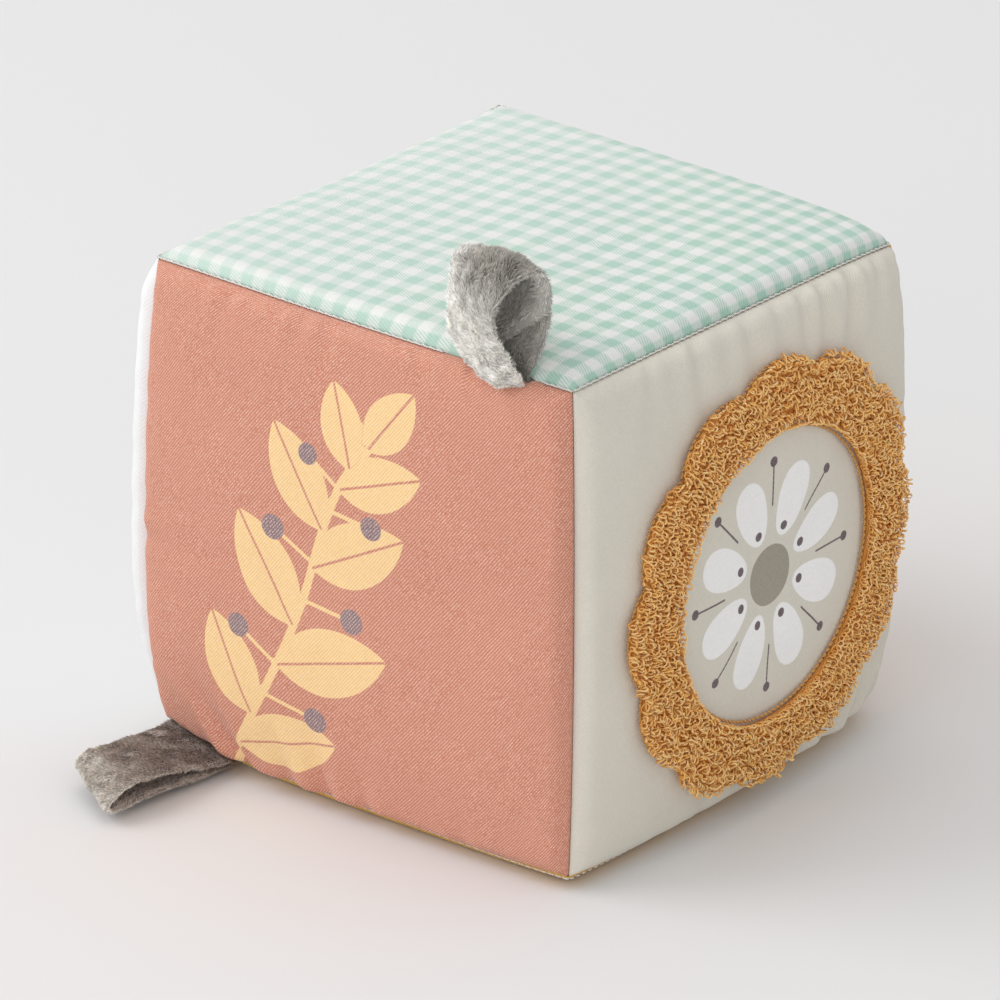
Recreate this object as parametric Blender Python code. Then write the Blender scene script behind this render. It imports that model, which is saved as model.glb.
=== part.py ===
# A stuffed fabric block for a baby: six cloth panels sewn into a cube round a ball of loose fibre.
# One plush ribbon loop is caught in the top front seam and one in the bottom front seam.
# Front is -Y, right is +X, top is +Z. The block stands on z = 0, centred on the Z axis.
import math

import bmesh
import bpy
from mathutils import Vector

# Fits
gap = 0.0003                    # free space between neighbouring pieces
seam_gap = 0.00032              # between the two turned-in edges of a seam

# Block
seam_to_seam = 0.130            # from one seam to the opposite one, corners left out
seam_lift = 0.0010              # the bottom seams stand this far off the table
cloth_thick = 0.0008            # panel cloth with its backing
seam_allowance = 0.0060         # cloth turned in behind each seam
edge_roll = 0.0035              # radius at which a panel rolls into its seam
edge_roll_angle = math.radians(75)

# Crown of each panel over its seams, as shares of half the block
crown_share = {"top": 0.030, "front": 0.044, "right": 0.044, "left": 0.046, "back": 0.046,
               "bottom": 0.0}
crown_power = 3.0
# How far each corner is drawn in towards the middle, as shares of half the block.
# Keys are the signs of x, y and z.
corner_share = {(1, -1, 1): 0.034, (-1, -1, 1): 0.028, (1, 1, 1): 0.075, (-1, 1, 1): 0.020,
                (1, -1, -1): 0.018, (-1, -1, -1): 0.115, (1, 1, -1): 0.095, (-1, 1, -1): 0.080}
corner_power = 5.0
edge_bow_share = 0.030          # the middle of each edge is drawn in by this share of half
edge_bow_power = 8.0
# How far uneven filling pushes a corner, or the middle of a seam, along x, y and z, as shares of
# half the block. Keys are the signs of x, y and z, with 0 along the seam.
push_share = {(-1, -1, 1): (0.015, 0.023, 0.019), (-1, 1, 1): (0.056, 0.056, 0.028),
              (1, 1, 1): (0.010, 0.008, 0.002), (1, -1, 1): (-0.011, -0.012, -0.007),
              (-1, -1, -1): (-0.017, -0.019, 0.0), (0, -1, 1): (0.0, 0.0, -0.011),
              (0, 1, 1): (0.0, 0.0, -0.009), (-1, 0, 1): (0.015, 0.0, -0.033),
              (-1, -1, 0): (-0.012, 0.0, 0.0), (1, -1, 0): (0.011, 0.0, 0.0),
              (0, -1, -1): (0.0, 0.029, 0.0)}
push_power = 1.5
settled_share = 0.965           # of its height that the block keeps under its own weight

# Sewing thread
thread_radius = 0.00025
thread_gap = 0.00040            # from the rolled edges on both sides
thread_piece = 0.0080           # length of thread between two bends of its tube
closing_share = 0.46            # share of the back left seam closed after stuffing

# Ribbon loops
ribbon_width = 0.0215
ribbon_thick = 0.0018           # plush with its pile
sewn_thick = 0.0012             # two layers pressed together in the seam
sewn_taper = 0.0012             # each side of a sewn end narrows by this at its cut edge
neck_gap = 0.0003               # between a loop's foot and the sewn end that it swings on
eye_foot = 0.0045               # from the hinge to the foot of the eye
eye_least = 0.0002              # half width of the eye at its foot

top_loop_from_right = 0.0235    # from the right seam to the middle of the loop
top_hinge_depth = 0.0004        # below the top and behind the front plane of the block
top_loop_height = (0.0240, 0.0235)      # left edge, right edge
top_loop_front = (0.0032, 0.0118)       # how far it bellies out in front
top_loop_back = (0.0070, 0.0082)        # and behind
top_loop_lean = (0.0010, 0.0008)        # how far the crest stands behind the hinge
top_loop_power = 1.2

bottom_loop_from_left = 0.0145  # from the left seam to the middle of the loop
bottom_hinge_out = 0.0012       # in front of the front plane of the block
bottom_hinge_rise = 0.0002      # over the bottom seam
bottom_loop_length = (0.0290, 0.0375)   # left edge, right edge
bottom_loop_upper = (0.0034, 0.0040)    # belly of the upper layer
bottom_loop_lower = (0.0024, 0.0028)    # belly of the lower layer
bottom_loop_rest = (0.0030, 0.0008)     # left and right edge, clear of the table
bottom_loop_skew_share = 0.03   # sideways drift to the left for each metre outwards
bottom_loop_power = 0.80

# Looped yarn ring on the right panel
ring_middle = (0.0030, -0.0040)         # along Y and Z from the middle of the panel
ring_inner = 0.0360
ring_outer = 0.0500             # to the notches between its lobes
ring_lobe = 0.0040              # a lobe reaches this much further
ring_lobes = 12
ring_thick = 0.0030
ring_gap = 0.0006               # over the crowned panel
ring_round_share = 0.35         # share of the band's width taken by each rounded side
edging_radius = 0.0005          # satin stitching along both edges of the ring

# Cuts of the meshes
panel_cells = 10
fill_cells = 8
ring_cells = 72
thread_sides = 5
loop_cells = 30
loop_strips = 5
least_cell = 0.0030

# Named sizes that follow from the ones above
roll_depth = edge_roll * (1 - math.cos(edge_roll_angle))
half = seam_to_seam / 2 + roll_depth
seam_offset = seam_gap / 2 * math.sqrt(2)
roll_start = seam_offset + edge_roll * (1 - math.cos(edge_roll_angle) + math.sin(edge_roll_angle))
turn_in = seam_allowance / math.sqrt(2)
table = seam_to_seam / 2 + seam_lift
loop_opening = (sewn_thick / 2 + gap - seam_gap / 2) * math.sqrt(2)
top_loop_middle = seam_to_seam / 2 - top_loop_from_right
bottom_loop_middle = bottom_loop_from_left - seam_to_seam / 2

X, Y, Z = range(3)
faces = {
    "top": (Z, 1, X, Y),
    "bottom": (Z, -1, X, Y),
    "front": (Y, -1, X, Z),
    "back": (Y, 1, X, Z),
    "right": (X, 1, Y, Z),
    "left": (X, -1, Y, Z),
}

for thing in list(bpy.data.objects):
    bpy.data.objects.remove(thing, do_unlink=True)


def material(name, colour, rough):
    made = bpy.data.materials.new(name)
    made.use_nodes = True
    shader = made.node_tree.nodes["Principled BSDF"]
    shader.inputs["Base Color"].default_value = (*colour, 1)
    shader.inputs["Roughness"].default_value = rough
    shader.inputs["Metallic"].default_value = 0
    return made


def add_object(name, mesh_data, look):
    bmesh.ops.recalc_face_normals(mesh_data, faces=mesh_data.faces)
    mesh = bpy.data.meshes.new(name)
    mesh_data.to_mesh(mesh)
    mesh_data.free()
    mesh.materials.append(look)
    made = bpy.data.objects.new(name, mesh)
    bpy.context.scene.collection.objects.link(made)
    return made


def shade_round(made):
    for polygon in made.data.polygons:
        polygon.use_smooth = True


# The stuffed form. Every piece is laid out in a plain cube first, and then each point moves
# along its line to the middle, so that pieces that are clear in the cube stay clear.
def swell(point):
    reach = max(abs(c) for c in point)
    if reach == 0:
        return 1.0
    on_cube = [c / reach for c in point]
    scale = 1.0
    for name, (normal, sign, u, v) in faces.items():
        if on_cube[normal] * sign > 0.9999999:
            scale += (crown_share[name] * (1 - abs(on_cube[u]) ** crown_power)
                      * (1 - abs(on_cube[v]) ** crown_power))
            break
    for axis in (X, Y, Z):
        one, other = (abs(c) for i, c in enumerate(on_cube) if i != axis)
        scale -= edge_bow_share * (one * other) ** edge_bow_power * (1 - on_cube[axis] ** 2)
    for signs, share in corner_share.items():
        near = 1.0
        for c, sign in zip(on_cube, signs):
            near *= ((1 + sign * c) / 2) ** corner_power
        scale -= share * near
    return scale


def push(point):
    on_block = [max(-1.0, min(1.0, c / half)) for c in point]
    moved = Vector((0, 0, 0))
    for signs, shares in push_share.items():
        near = half
        for c, sign in zip(on_block, signs):
            near *= ((1 + sign * c) / 2) ** push_power if sign else 1 - c * c
        moved += Vector(shares) * near
    return moved


def placed(point, layer=0.0):
    """A point of the plain cube as it stands on the table, at least layer above it."""
    scale = swell(point)
    x, y, z = (c * scale for c in point)
    made = Vector((x, y, (z + table) * settled_share)) + push(point)
    made.z = max(made.z, layer)
    return made


def cube_point(face, depth, along_u, along_v):
    normal, sign, u, v = faces[face]
    point = [0.0, 0.0, 0.0]
    point[normal] = sign * (half - depth)
    point[u] = along_u
    point[v] = along_v
    return point


# Where a ribbon loop leaves its seam the panels are held apart by its two layers.
loop_sides = {
    ("top", Y, -1): top_loop_middle,
    ("front", Z, 1): top_loop_middle,
    ("bottom", Y, -1): bottom_loop_middle,
    ("front", Z, -1): bottom_loop_middle,
}
loop_fade = least_cell


def opening(face, axis, sign, x):
    middle = loop_sides.get((face, axis, sign))
    if middle is None:
        return 0.0
    beyond = abs(x - middle) - ribbon_width / 2 - gap
    return loop_opening * max(0.0, min(1.0, 1 - beyond / loop_fade))


def cut_lines(extra):
    """Shares from -1 to 1 of a panel's half width, with lines at the given places."""
    reach = half - roll_start
    fixed = sorted({-1.0, 1.0, *(max(-1.0, min(1.0, place / reach)) for place in extra)})
    spread = [-1 + 2 * i / panel_cells for i in range(1, panel_cells)]
    clear = least_cell / reach
    kept = [s for s in spread if min(abs(s - f) for f in fixed) >= clear]
    return sorted([*fixed, *kept])


def loop_lines(face):
    middles = {m for (owner, _, _), m in loop_sides.items() if owner == face}
    places = []
    for middle in middles:
        edge = ribbon_width / 2 + gap
        places += [middle - edge - loop_fade, middle - edge, middle + edge,
                   middle + edge + loop_fade]
    return places


def make_panel(face, look):
    normal, sign, u_axis, v_axis = faces[face]
    u_lines = cut_lines(loop_lines(face))
    v_lines = cut_lines([])
    wide, high = len(u_lines), len(v_lines)

    round_the_rim = [(i, 0) for i in range(wide - 1)]
    round_the_rim += [(wide - 1, j) for j in range(high - 1)]
    round_the_rim += [(i, high - 1) for i in range(wide - 1, 0, -1)]
    round_the_rim += [(0, j) for j in range(high - 1, 0, -1)]

    flat = half - roll_start

    def along(share, reach):
        """A cut line keeps its place down the seam, and only the corner moves in or out."""
        if abs(share) == 1:
            return share * reach
        limit = reach - (1 - abs(share)) * flat / 2
        return math.copysign(min(abs(share) * flat, limit), share)

    def at(i, j, depth, inset, layer):
        place = [along(u_lines[i], half - inset), along(v_lines[j], half - inset)]
        if j in (0, high - 1):
            side = -1 if j == 0 else 1
            place[1] -= side * opening(face, v_axis, side, u_lines[i] * flat)
        return placed(cube_point(face, depth, *place), layer)

    inner_roll = edge_roll - cloth_thick
    lean = (math.sqrt(2) * cloth_thick
            - edge_roll * (math.sin(edge_roll_angle) - math.cos(edge_roll_angle))) / inner_roll
    inner_angle = math.acos(lean / math.sqrt(2)) - math.radians(45)

    def rolled(radius, angle):
        return (edge_roll - radius * math.cos(angle), roll_start - radius * math.sin(angle))

    tip = roll_depth + turn_in
    rim_rows = [
        (*rolled(edge_roll, edge_roll_angle / 2), 0.0),
        (*rolled(edge_roll, edge_roll_angle), 0.0),
        (tip, tip + seam_offset, 0.0),
        (tip, tip + seam_offset + math.sqrt(2) * cloth_thick, cloth_thick),
        (*rolled(inner_roll, inner_angle), cloth_thick),
        (*rolled(inner_roll, inner_angle / 2), cloth_thick),
    ]

    body = bmesh.new()
    grids = []
    for depth in (0.0, cloth_thick):
        grids.append([[body.verts.new(at(i, j, depth, roll_start, depth))
                       for j in range(high)] for i in range(wide)])
    rows = [[grids[0][i][j] for i, j in round_the_rim]]
    for depth, inset, layer in rim_rows:
        rows.append([body.verts.new(at(i, j, depth, inset, layer)) for i, j in round_the_rim])
    rows.append([grids[1][i][j] for i, j in round_the_rim])

    for grid in grids:
        for i in range(wide - 1):
            for j in range(high - 1):
                body.faces.new((grid[i][j], grid[i + 1][j], grid[i + 1][j + 1], grid[i][j + 1]))
    for row, following in zip(rows, rows[1:]):
        for k in range(len(row)):
            after = (k + 1) % len(row)
            body.faces.new((row[k], row[after], following[after], following[k]))
    panel = add_object(face + "_panel", body, look)
    shade_round(panel)
    return panel


def make_fill(look):
    """The stuffing: six swollen faces, with a groove at each seam for its turned-in edges."""
    depth = cloth_thick + gap
    apart = seam_offset + loop_opening + math.sqrt(2) * (cloth_thick + gap)
    floor = roll_depth + turn_in + gap * math.sqrt(2)
    shares = [-1 + 2 * i / fill_cells for i in range(fill_cells + 1)]
    round_the_rim = [(i, 0) for i in range(fill_cells)]
    round_the_rim += [(fill_cells, j) for j in range(fill_cells)]
    round_the_rim += [(i, fill_cells) for i in range(fill_cells, 0, -1)]
    round_the_rim += [(0, j) for j in range(fill_cells, 0, -1)]
    rolled_depth = roll_depth + cloth_thick
    body = bmesh.new()
    groove = {}
    for face in faces:
        def at(i, j, deep, inset):
            reach = half - inset
            return body.verts.new(placed(
                cube_point(face, deep, shares[i] * reach, shares[j] * reach), depth))

        start = roll_start + loop_opening
        grid = [[at(i, j, depth, start) for j in range(fill_cells + 1)]
                for i in range(fill_cells + 1)]
        rows = [[grid[i][j] for i, j in round_the_rim],
                [at(i, j, rolled_depth, rolled_depth + apart) for i, j in round_the_rim],
                [at(i, j, floor, floor + apart) for i, j in round_the_rim]]
        for i in range(fill_cells):
            for j in range(fill_cells):
                body.faces.new((grid[i][j], grid[i + 1][j], grid[i + 1][j + 1], grid[i][j + 1]))
        for row, following in zip(rows, rows[1:]):
            for k in range(len(row)):
                after = (k + 1) % len(row)
                body.faces.new((row[k], row[after], following[after], following[k]))
        groove[face] = {(i, j): vert for (i, j), vert in zip(round_the_rim, rows[-1])}

    def along(face, axis, side, step):
        """The groove's vertex of a face on its edge towards side of axis, step from the start."""
        _, _, u, _ = faces[face]
        end = fill_cells if side > 0 else 0
        return groove[face][(end, step) if axis == u else (step, end)]

    names = list(faces)
    for first in range(len(names)):
        for second in range(first + 1, len(names)):
            a, b = names[first], names[second]
            normal_a, sign_a, _, _ = faces[a]
            normal_b, sign_b, _, _ = faces[b]
            if normal_a == normal_b:
                continue
            for step in range(fill_cells):
                body.faces.new((along(a, normal_b, sign_b, step),
                                along(a, normal_b, sign_b, step + 1),
                                along(b, normal_a, sign_a, step + 1),
                                along(b, normal_a, sign_a, step)))
    for signs in corner_share:
        ends = [fill_cells if s > 0 else 0 for s in signs]
        corner = []
        for face, (normal, sign, u, v) in faces.items():
            if signs[normal] == sign:
                corner.append(groove[face][(ends[u], ends[v])])
        body.faces.new(corner)
    fill = add_object("fibre_fill", body, look)
    shade_round(fill)
    return fill


def make_tube(name, points, radius, sides, closed, look):
    """A round thread through the points."""
    count = len(points)
    body = bmesh.new()
    rings = []
    side = None
    for k, point in enumerate(points):
        before = points[k - 1] if closed or k else point
        after = points[(k + 1) % count] if closed or k < count - 1 else point
        into = (point - before).normalized() if k or closed else None
        out = (after - point).normalized() if closed or k < count - 1 else None
        into = into or out
        out = out or into
        along = (into + out).normalized()
        if side is None:
            side = along.orthogonal().normalized()
        side = (side - along * side.dot(along)).normalized()
        up = along.cross(side).normalized()
        bend = max(0.5, into.dot(along))
        hinge = into.cross(out)
        ring = []
        for s in range(sides):
            turn = 2 * math.pi * s / sides
            arm = side * math.cos(turn) + up * math.sin(turn)
            if hinge.length > 1e-6:
                across = hinge.normalized().cross(along)
                arm += across * arm.dot(across) * (1 / bend - 1)
            ring.append(body.verts.new(point + arm * radius))
        rings.append(ring)
    spans = count if closed else count - 1
    for k in range(spans):
        here, there = rings[k], rings[(k + 1) % count]
        shift = 0
        if closed and k == count - 1:
            shift = min(range(sides), key=lambda s: sum(
                (here[i].co - there[(i + s) % sides].co).length for i in range(sides)))
        for i in range(sides):
            j = (i + 1) % sides
            body.faces.new((here[i], here[j], there[(j + shift) % sides], there[(i + shift) % sides]))
    if not closed:
        body.faces.new(rings[0])
        body.faces.new(rings[-1])
    tube = add_object(name, body, look)
    shade_round(tube)
    return tube


def groove_depth():
    """How deep below both planes a thread lies that just clears the two rolled edges."""
    wanted = edge_roll + thread_radius + thread_gap
    low, high = 0.0, edge_roll
    for _ in range(40):
        middle = (low + high) / 2
        far = math.hypot(roll_start - middle, edge_roll - middle)
        low, high = (middle, high) if far > wanted else (low, middle)
    return low


def stations(start, end):
    count = max(1, round(abs(end - start) / thread_piece))
    return [start + (end - start) * i / count for i in range(count + 1)]


def make_threads(look):
    reach = half - groove_depth()
    clear = ribbon_width / 2 + gap + loop_fade
    for name, level, middle in (("top_seam_thread", reach, top_loop_middle),
                                ("bottom_seam_thread", -reach, bottom_loop_middle)):
        path = [(x, -reach) for x in stations(middle + clear, reach)]
        path += [(reach, y) for y in stations(-reach, reach)[1:]]
        path += [(x, reach) for x in stations(reach, -reach)[1:]]
        path += [(-reach, y) for y in stations(reach, -reach)[1:]]
        path += [(x, -reach) for x in stations(-reach, middle - clear)[1:]]
        points = [placed((x, y, level), gap + thread_radius) for x, y in path]
        make_tube(name, points, thread_radius, thread_sides, False, look)

    end = reach - (2 * thread_radius + gap) * 2
    split = -end + 2 * end * closing_share
    for name, x_side, y_side, low, high in (
            ("front_left_seam_thread", -1, -1, -end, end),
            ("front_right_seam_thread", 1, -1, -end, end),
            ("back_right_seam_thread", 1, 1, -end, end),
            ("back_left_seam_thread", -1, 1, split + gap / 2, end),
            ("closing_stitch", -1, 1, -end, split - gap / 2)):
        points = [placed((x_side * reach, y_side * reach, z)) for z in stations(low, high)]
        make_tube(name, points, thread_radius, thread_sides, False, look)


def teardrop(turn, power):
    """Height share and signed belly share of a ribbon loop's side at a turn from its foot."""
    return (1 - math.cos(turn)) / 2, math.sin(turn) * abs(math.sin(turn / 2)) ** power


def teardrop_peak(power):
    return max(teardrop(math.pi * i / 200, power)[1] for i in range(200))


def make_loop(name, origin, side, out, up, sizes, look):
    """A ribbon folded into a loop. sizes(share) gives, at a share of its width, the height,
    the two bellies, the lean, and the sideways drift, and the power of its shape."""
    body = bmesh.new()
    across = []
    for strip in range(loop_strips + 1):
        share = strip / loop_strips
        height, belly_a, belly_b, lean, drift, power = sizes(share)
        peak = teardrop_peak(power)
        base = origin + side * ((share - 0.5) * ribbon_width)
        outer, inner = [], []
        for k in range(loop_cells):
            turn = 2 * math.pi * (k + 0.5) / loop_cells
            rise, belly = teardrop(turn, power)
            sign = 1 if belly >= 0 else -1
            grown = (belly_a if sign > 0 else belly_b) * abs(belly) / peak
            half_foot = sewn_thick / 2
            wide = half_foot + grown
            tall = rise * height
            centre = lean * rise
            outer.append(body.verts.new(base + out * tall + up * (centre + sign * wide)
                                        + side * (drift * rise)))
            eye_high = height - ribbon_thick
            tall = eye_foot + (eye_high - eye_foot) * rise
            wide = max(0.0, grown + half_foot - ribbon_thick) * rise ** 0.5 + eye_least
            centre = lean * tall / height
            inner.append(body.verts.new(base + out * tall + up * (centre + sign * wide)
                                        + side * (drift * tall / height)))
        across.append((outer, inner))
    for (outer, inner), (next_outer, next_inner) in zip(across, across[1:]):
        for k in range(loop_cells):
            j = (k + 1) % loop_cells
            body.faces.new((outer[k], outer[j], next_outer[j], next_outer[k]))
            body.faces.new((inner[k], inner[j], next_inner[j], next_inner[k]))
    for outer, inner in (across[0], across[-1]):
        for k in range(loop_cells):
            j = (k + 1) % loop_cells
            body.faces.new((outer[k], outer[j], inner[j], inner[k]))
    bmesh.ops.translate(body, verts=body.verts, vec=-origin)
    loop = add_object(name, body, look)
    loop.location = origin
    shade_round(loop)
    return loop


def make_sewn_end(name, middle, level_sign, hinge, look):
    """The two ends of a ribbon, pressed flat between the turned-in edges of its seam, and
    their neck out of the seam, which stops just short of the hinge."""
    near = half - roll_depth
    far = near - turn_in
    neck = Vector((-near, level_sign * near))
    to_hinge = Vector(hinge) - neck
    onward = to_hinge.normalized()
    end = Vector(hinge) - onward * (sewn_thick / 2 + neck_gap)
    line = [Vector((-far, level_sign * far)), neck, end - onward * sewn_thick / 3, end]
    into = Vector((-1, level_sign)).normalized()
    ways = [into, (into + onward).normalized(), onward, onward]
    thicknesses = [sewn_thick, sewn_thick, sewn_thick, sewn_thick / 2]
    outline = []
    for side in (-1, 1):
        edge = [point + Vector((-way.y, way.x)) * side * thick / 2
                for point, way, thick in zip(line, ways, thicknesses)]
        outline += edge if side < 0 else edge[::-1]
    body = bmesh.new()
    rows = []
    for i in range(loop_strips + 1):
        share = i / loop_strips - 0.5
        row = []
        for y, z in outline:
            inward = min(1.0, max(0.0, (near + y) / turn_in))
            x = middle + share * (ribbon_width - 2 * sewn_taper * inward)
            row.append(body.verts.new(placed((x, y, z))))
        rows.append(row)
    for row, following in zip(rows, rows[1:]):
        for k in range(len(row)):
            j = (k + 1) % len(row)
            body.faces.new((row[k], row[j], following[j], following[k]))
    body.faces.new(rows[0])
    body.faces.new(rows[-1])
    return add_object(name, body, look)


def lerp(pair, share):
    return pair[0] + (pair[1] - pair[0]) * share


def hinge_line(middle, foot):
    """The middle of a loop's hinge and the way it runs, for a foot at (y, z) in the cube."""
    ends = [placed((middle + side * ribbon_width / 2, *foot)) for side in (-1, 1)]
    return (ends[0] + ends[1]) / 2, (ends[1] - ends[0]).normalized()


def square_to(way, side):
    return (way - side * way.dot(side)).normalized()


def make_loops(look):
    reach = half - top_hinge_depth
    foot = (-reach, reach)
    hinge, side = hinge_line(top_loop_middle, foot)
    out = square_to(Vector((0, 0, 1)), side)

    def top_sizes(share):
        return (lerp(top_loop_height, share), lerp(top_loop_front, share),
                lerp(top_loop_back, share), -lerp(top_loop_lean, share), 0.0, top_loop_power)

    make_loop("top_loop", hinge, side, out, out.cross(side) * -1, top_sizes, look)
    make_sewn_end("top_loop_sewn_end", top_loop_middle, 1, foot, look)

    foot = (-(half + bottom_hinge_out), -(half - roll_depth - bottom_hinge_rise))
    low_hinge, low_side = hinge_line(bottom_loop_middle, foot)
    low_out = square_to(Vector((0, -1, 0)), low_side)
    low_up = low_side.cross(low_out) * -1

    def bottom_sizes(share):
        length = lerp(bottom_loop_length, share)
        upper = lerp(bottom_loop_upper, share)
        lower = lerp(bottom_loop_lower, share)
        end = low_hinge + low_side * ((share - 0.5) * ribbon_width) + low_out * length
        level = lerp(bottom_loop_rest, share) + lower + sewn_thick / 2
        lean = (level - end.z) / low_up.z
        drift = -bottom_loop_skew_share * length
        return length, upper, lower, lean, drift, bottom_loop_power

    make_loop("bottom_loop", low_hinge, low_side, low_out, low_up, bottom_sizes, look)
    make_sewn_end("bottom_loop_sewn_end", bottom_loop_middle, -1, foot, look)


def ring_radius(turn):
    """Outer radius of the looped yarn ring, with its rounded lobes."""
    return ring_outer + ring_lobe * abs(math.cos(ring_lobes * turn / 2)) ** 0.7


def on_right(radius, turn, height):
    y = ring_middle[0] + radius * math.cos(turn)
    z = ring_middle[1] + radius * math.sin(turn)
    return placed(cube_point("right", -height, y, z))


def make_ring(look):
    body = bmesh.new()
    sections = []
    for k in range(ring_cells):
        turn = 2 * math.pi * k / ring_cells
        outer = ring_radius(turn)
        band = outer - ring_inner
        soft = band * ring_round_share
        low, high = ring_gap, ring_gap + ring_thick
        middle = low + ring_thick * 0.5
        shape = [(ring_inner, low), (ring_inner, middle), (ring_inner + soft, high),
                 (outer - soft, high), (outer, middle), (outer, low)]
        sections.append([body.verts.new(on_right(r, turn, h)) for r, h in shape])
    for k, section in enumerate(sections):
        following = sections[(k + 1) % ring_cells]
        for i in range(len(section)):
            j = (i + 1) % len(section)
            body.faces.new((section[i], section[j], following[j], following[i]))
    ring = add_object("boucle_ring", body, look)
    shade_round(ring)
    return ring


def make_edgings(look):
    level = ring_gap + edging_radius
    inner = ring_inner - gap - edging_radius
    points = [on_right(inner, 2 * math.pi * k / ring_cells, level) for k in range(ring_cells)]
    make_tube("ring_inner_stitching", points, edging_radius, thread_sides, True, look)
    clear = (gap + edging_radius) * 1.25
    points = [on_right(ring_radius(2 * math.pi * k / ring_cells) + clear,
                       2 * math.pi * k / ring_cells, level) for k in range(ring_cells)]
    make_tube("ring_outer_stitching", points, edging_radius, thread_sides, True, look)


gingham = material("gingham_cotton", (0.62, 0.79, 0.72), 0.85)
terracotta = material("terracotta_twill", (0.60, 0.26, 0.18), 0.85)
greige = material("greige_cotton", (0.62, 0.60, 0.55), 0.85)
white = material("white_cotton", (0.86, 0.86, 0.86), 0.85)
mustard = material("mustard_cotton", (0.74, 0.38, 0.09), 0.85)
ochre = material("ochre_cotton", (0.84, 0.55, 0.15), 0.85)
plush = material("grey_plush", (0.28, 0.27, 0.25), 0.95)
yarn = material("mustard_boucle", (0.60, 0.29, 0.07), 0.9)
satin = material("mustard_thread", (0.72, 0.42, 0.17), 0.6)
thread = material("white_thread", (0.85, 0.84, 0.80), 0.6)
fibre = material("polyester_fibre", (0.88, 0.88, 0.88), 0.9)

for face, look in (("top", gingham), ("front", terracotta), ("right", greige),
                   ("left", white), ("back", mustard), ("bottom", ochre)):
    make_panel(face, look)
make_fill(fibre)
make_threads(thread)
make_loops(plush)
make_ring(yarn)
make_edgings(satin)
bpy.context.view_layer.update()
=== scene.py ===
import math
from functools import partial

import bpy
import numpy as np
from mathutils import Matrix, Vector


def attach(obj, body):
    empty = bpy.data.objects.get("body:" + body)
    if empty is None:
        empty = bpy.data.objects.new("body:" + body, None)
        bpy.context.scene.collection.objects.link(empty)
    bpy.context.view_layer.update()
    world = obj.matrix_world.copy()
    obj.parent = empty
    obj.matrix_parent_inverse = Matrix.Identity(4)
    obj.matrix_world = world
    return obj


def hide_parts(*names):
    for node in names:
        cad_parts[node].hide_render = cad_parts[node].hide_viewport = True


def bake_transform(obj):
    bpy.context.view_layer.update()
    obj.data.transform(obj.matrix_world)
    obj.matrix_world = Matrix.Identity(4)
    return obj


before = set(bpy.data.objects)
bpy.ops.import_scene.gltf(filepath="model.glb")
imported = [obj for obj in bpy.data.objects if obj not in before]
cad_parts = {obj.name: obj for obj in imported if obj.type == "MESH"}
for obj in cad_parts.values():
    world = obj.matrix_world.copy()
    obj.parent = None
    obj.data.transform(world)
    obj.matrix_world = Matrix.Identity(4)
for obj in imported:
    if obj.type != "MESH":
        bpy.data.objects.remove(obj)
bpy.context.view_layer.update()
blockBody = "block"
print("frame loaded:", len(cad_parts), "nodes")

# Small helpers


def linear(hexColour):
    parts = [int(hexColour[i:i + 2], 16) / 255 for i in (1, 3, 5)]
    return tuple(c / 12.92 if c <= 0.04045 else ((c + 0.055) / 1.055) ** 2.4 for c in parts) + (1.0,)


def setInputs(node, inputs):
    # by name or number, or in order, each from a number, a colour, a socket or a node's first output
    if not isinstance(inputs, dict):
        inputs = dict(zip([k for k, socket in enumerate(node.inputs) if socket.enabled], inputs))
    for key, value in inputs.items():
        if isinstance(value, bpy.types.Node):
            value = next(socket for socket in value.outputs if socket.enabled)
        if isinstance(value, bpy.types.NodeSocket):
            node.id_data.links.new(value, node.inputs[key])
        else:
            node.inputs[key].default_value = linear(value) if isinstance(value, str) else value


def addNode(tree, kind, inputs=(), **settings):
    # the kind can be followed by what the node works out, or by the type of data that it mixes
    kind, _, work = kind.partition(" ")
    if work:
        settings["data_type" if kind == "Mix" else "operation"] = work
    node = tree.nodes.new("ShaderNode" + kind)
    for name, value in settings.items():
        setattr(node, name, value)
    setInputs(node, inputs)
    return node


def newMaterial(name):
    look = bpy.data.materials.new(name)
    look.use_nodes = True
    return look, partial(addNode, look.node_tree), look.node_tree.nodes["Principled BSDF"]


def meshPiece(name, points, faces, look, smooth=True):
    mesh = bpy.data.meshes.new(name)
    mesh.from_pydata([tuple(p) for p in points], [], [tuple(int(i) for i in f) for f in faces])
    mesh.polygons.foreach_set("use_smooth", [smooth] * len(mesh.polygons))
    mesh.materials.append(look)
    mesh.update()
    piece = bpy.data.objects.new(name, mesh)
    bpy.context.scene.collection.objects.link(piece)
    return piece


def unit(vectors):
    return vectors / np.maximum(np.linalg.norm(vectors, axis=-1, keepdims=True), 1e-12)


def fullTurn(count):
    return np.linspace(0, 2 * math.pi, count, endpoint=False)


def gridFaces(rows, columns, closeRows=False, closeColumns=False, flip=False, start=0):
    r = np.arange(rows if closeRows else rows - 1)
    c = np.arange(columns if closeColumns else columns - 1)
    r, c = (a.ravel() for a in np.meshgrid(r, c, indexing="ij"))
    r2, c2 = (r + 1) % rows, (c + 1) % columns
    faces = np.stack([r * columns + c, r2 * columns + c, r2 * columns + c2, r * columns + c2], 1) + start
    return faces[:, ::-1] if flip else faces


def pointValues(piece, name, values):
    layer = piece.data.attributes.new(name, "FLOAT", "POINT")
    layer.data.foreach_set("value", np.asarray(values, dtype=np.float32).ravel())


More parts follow.
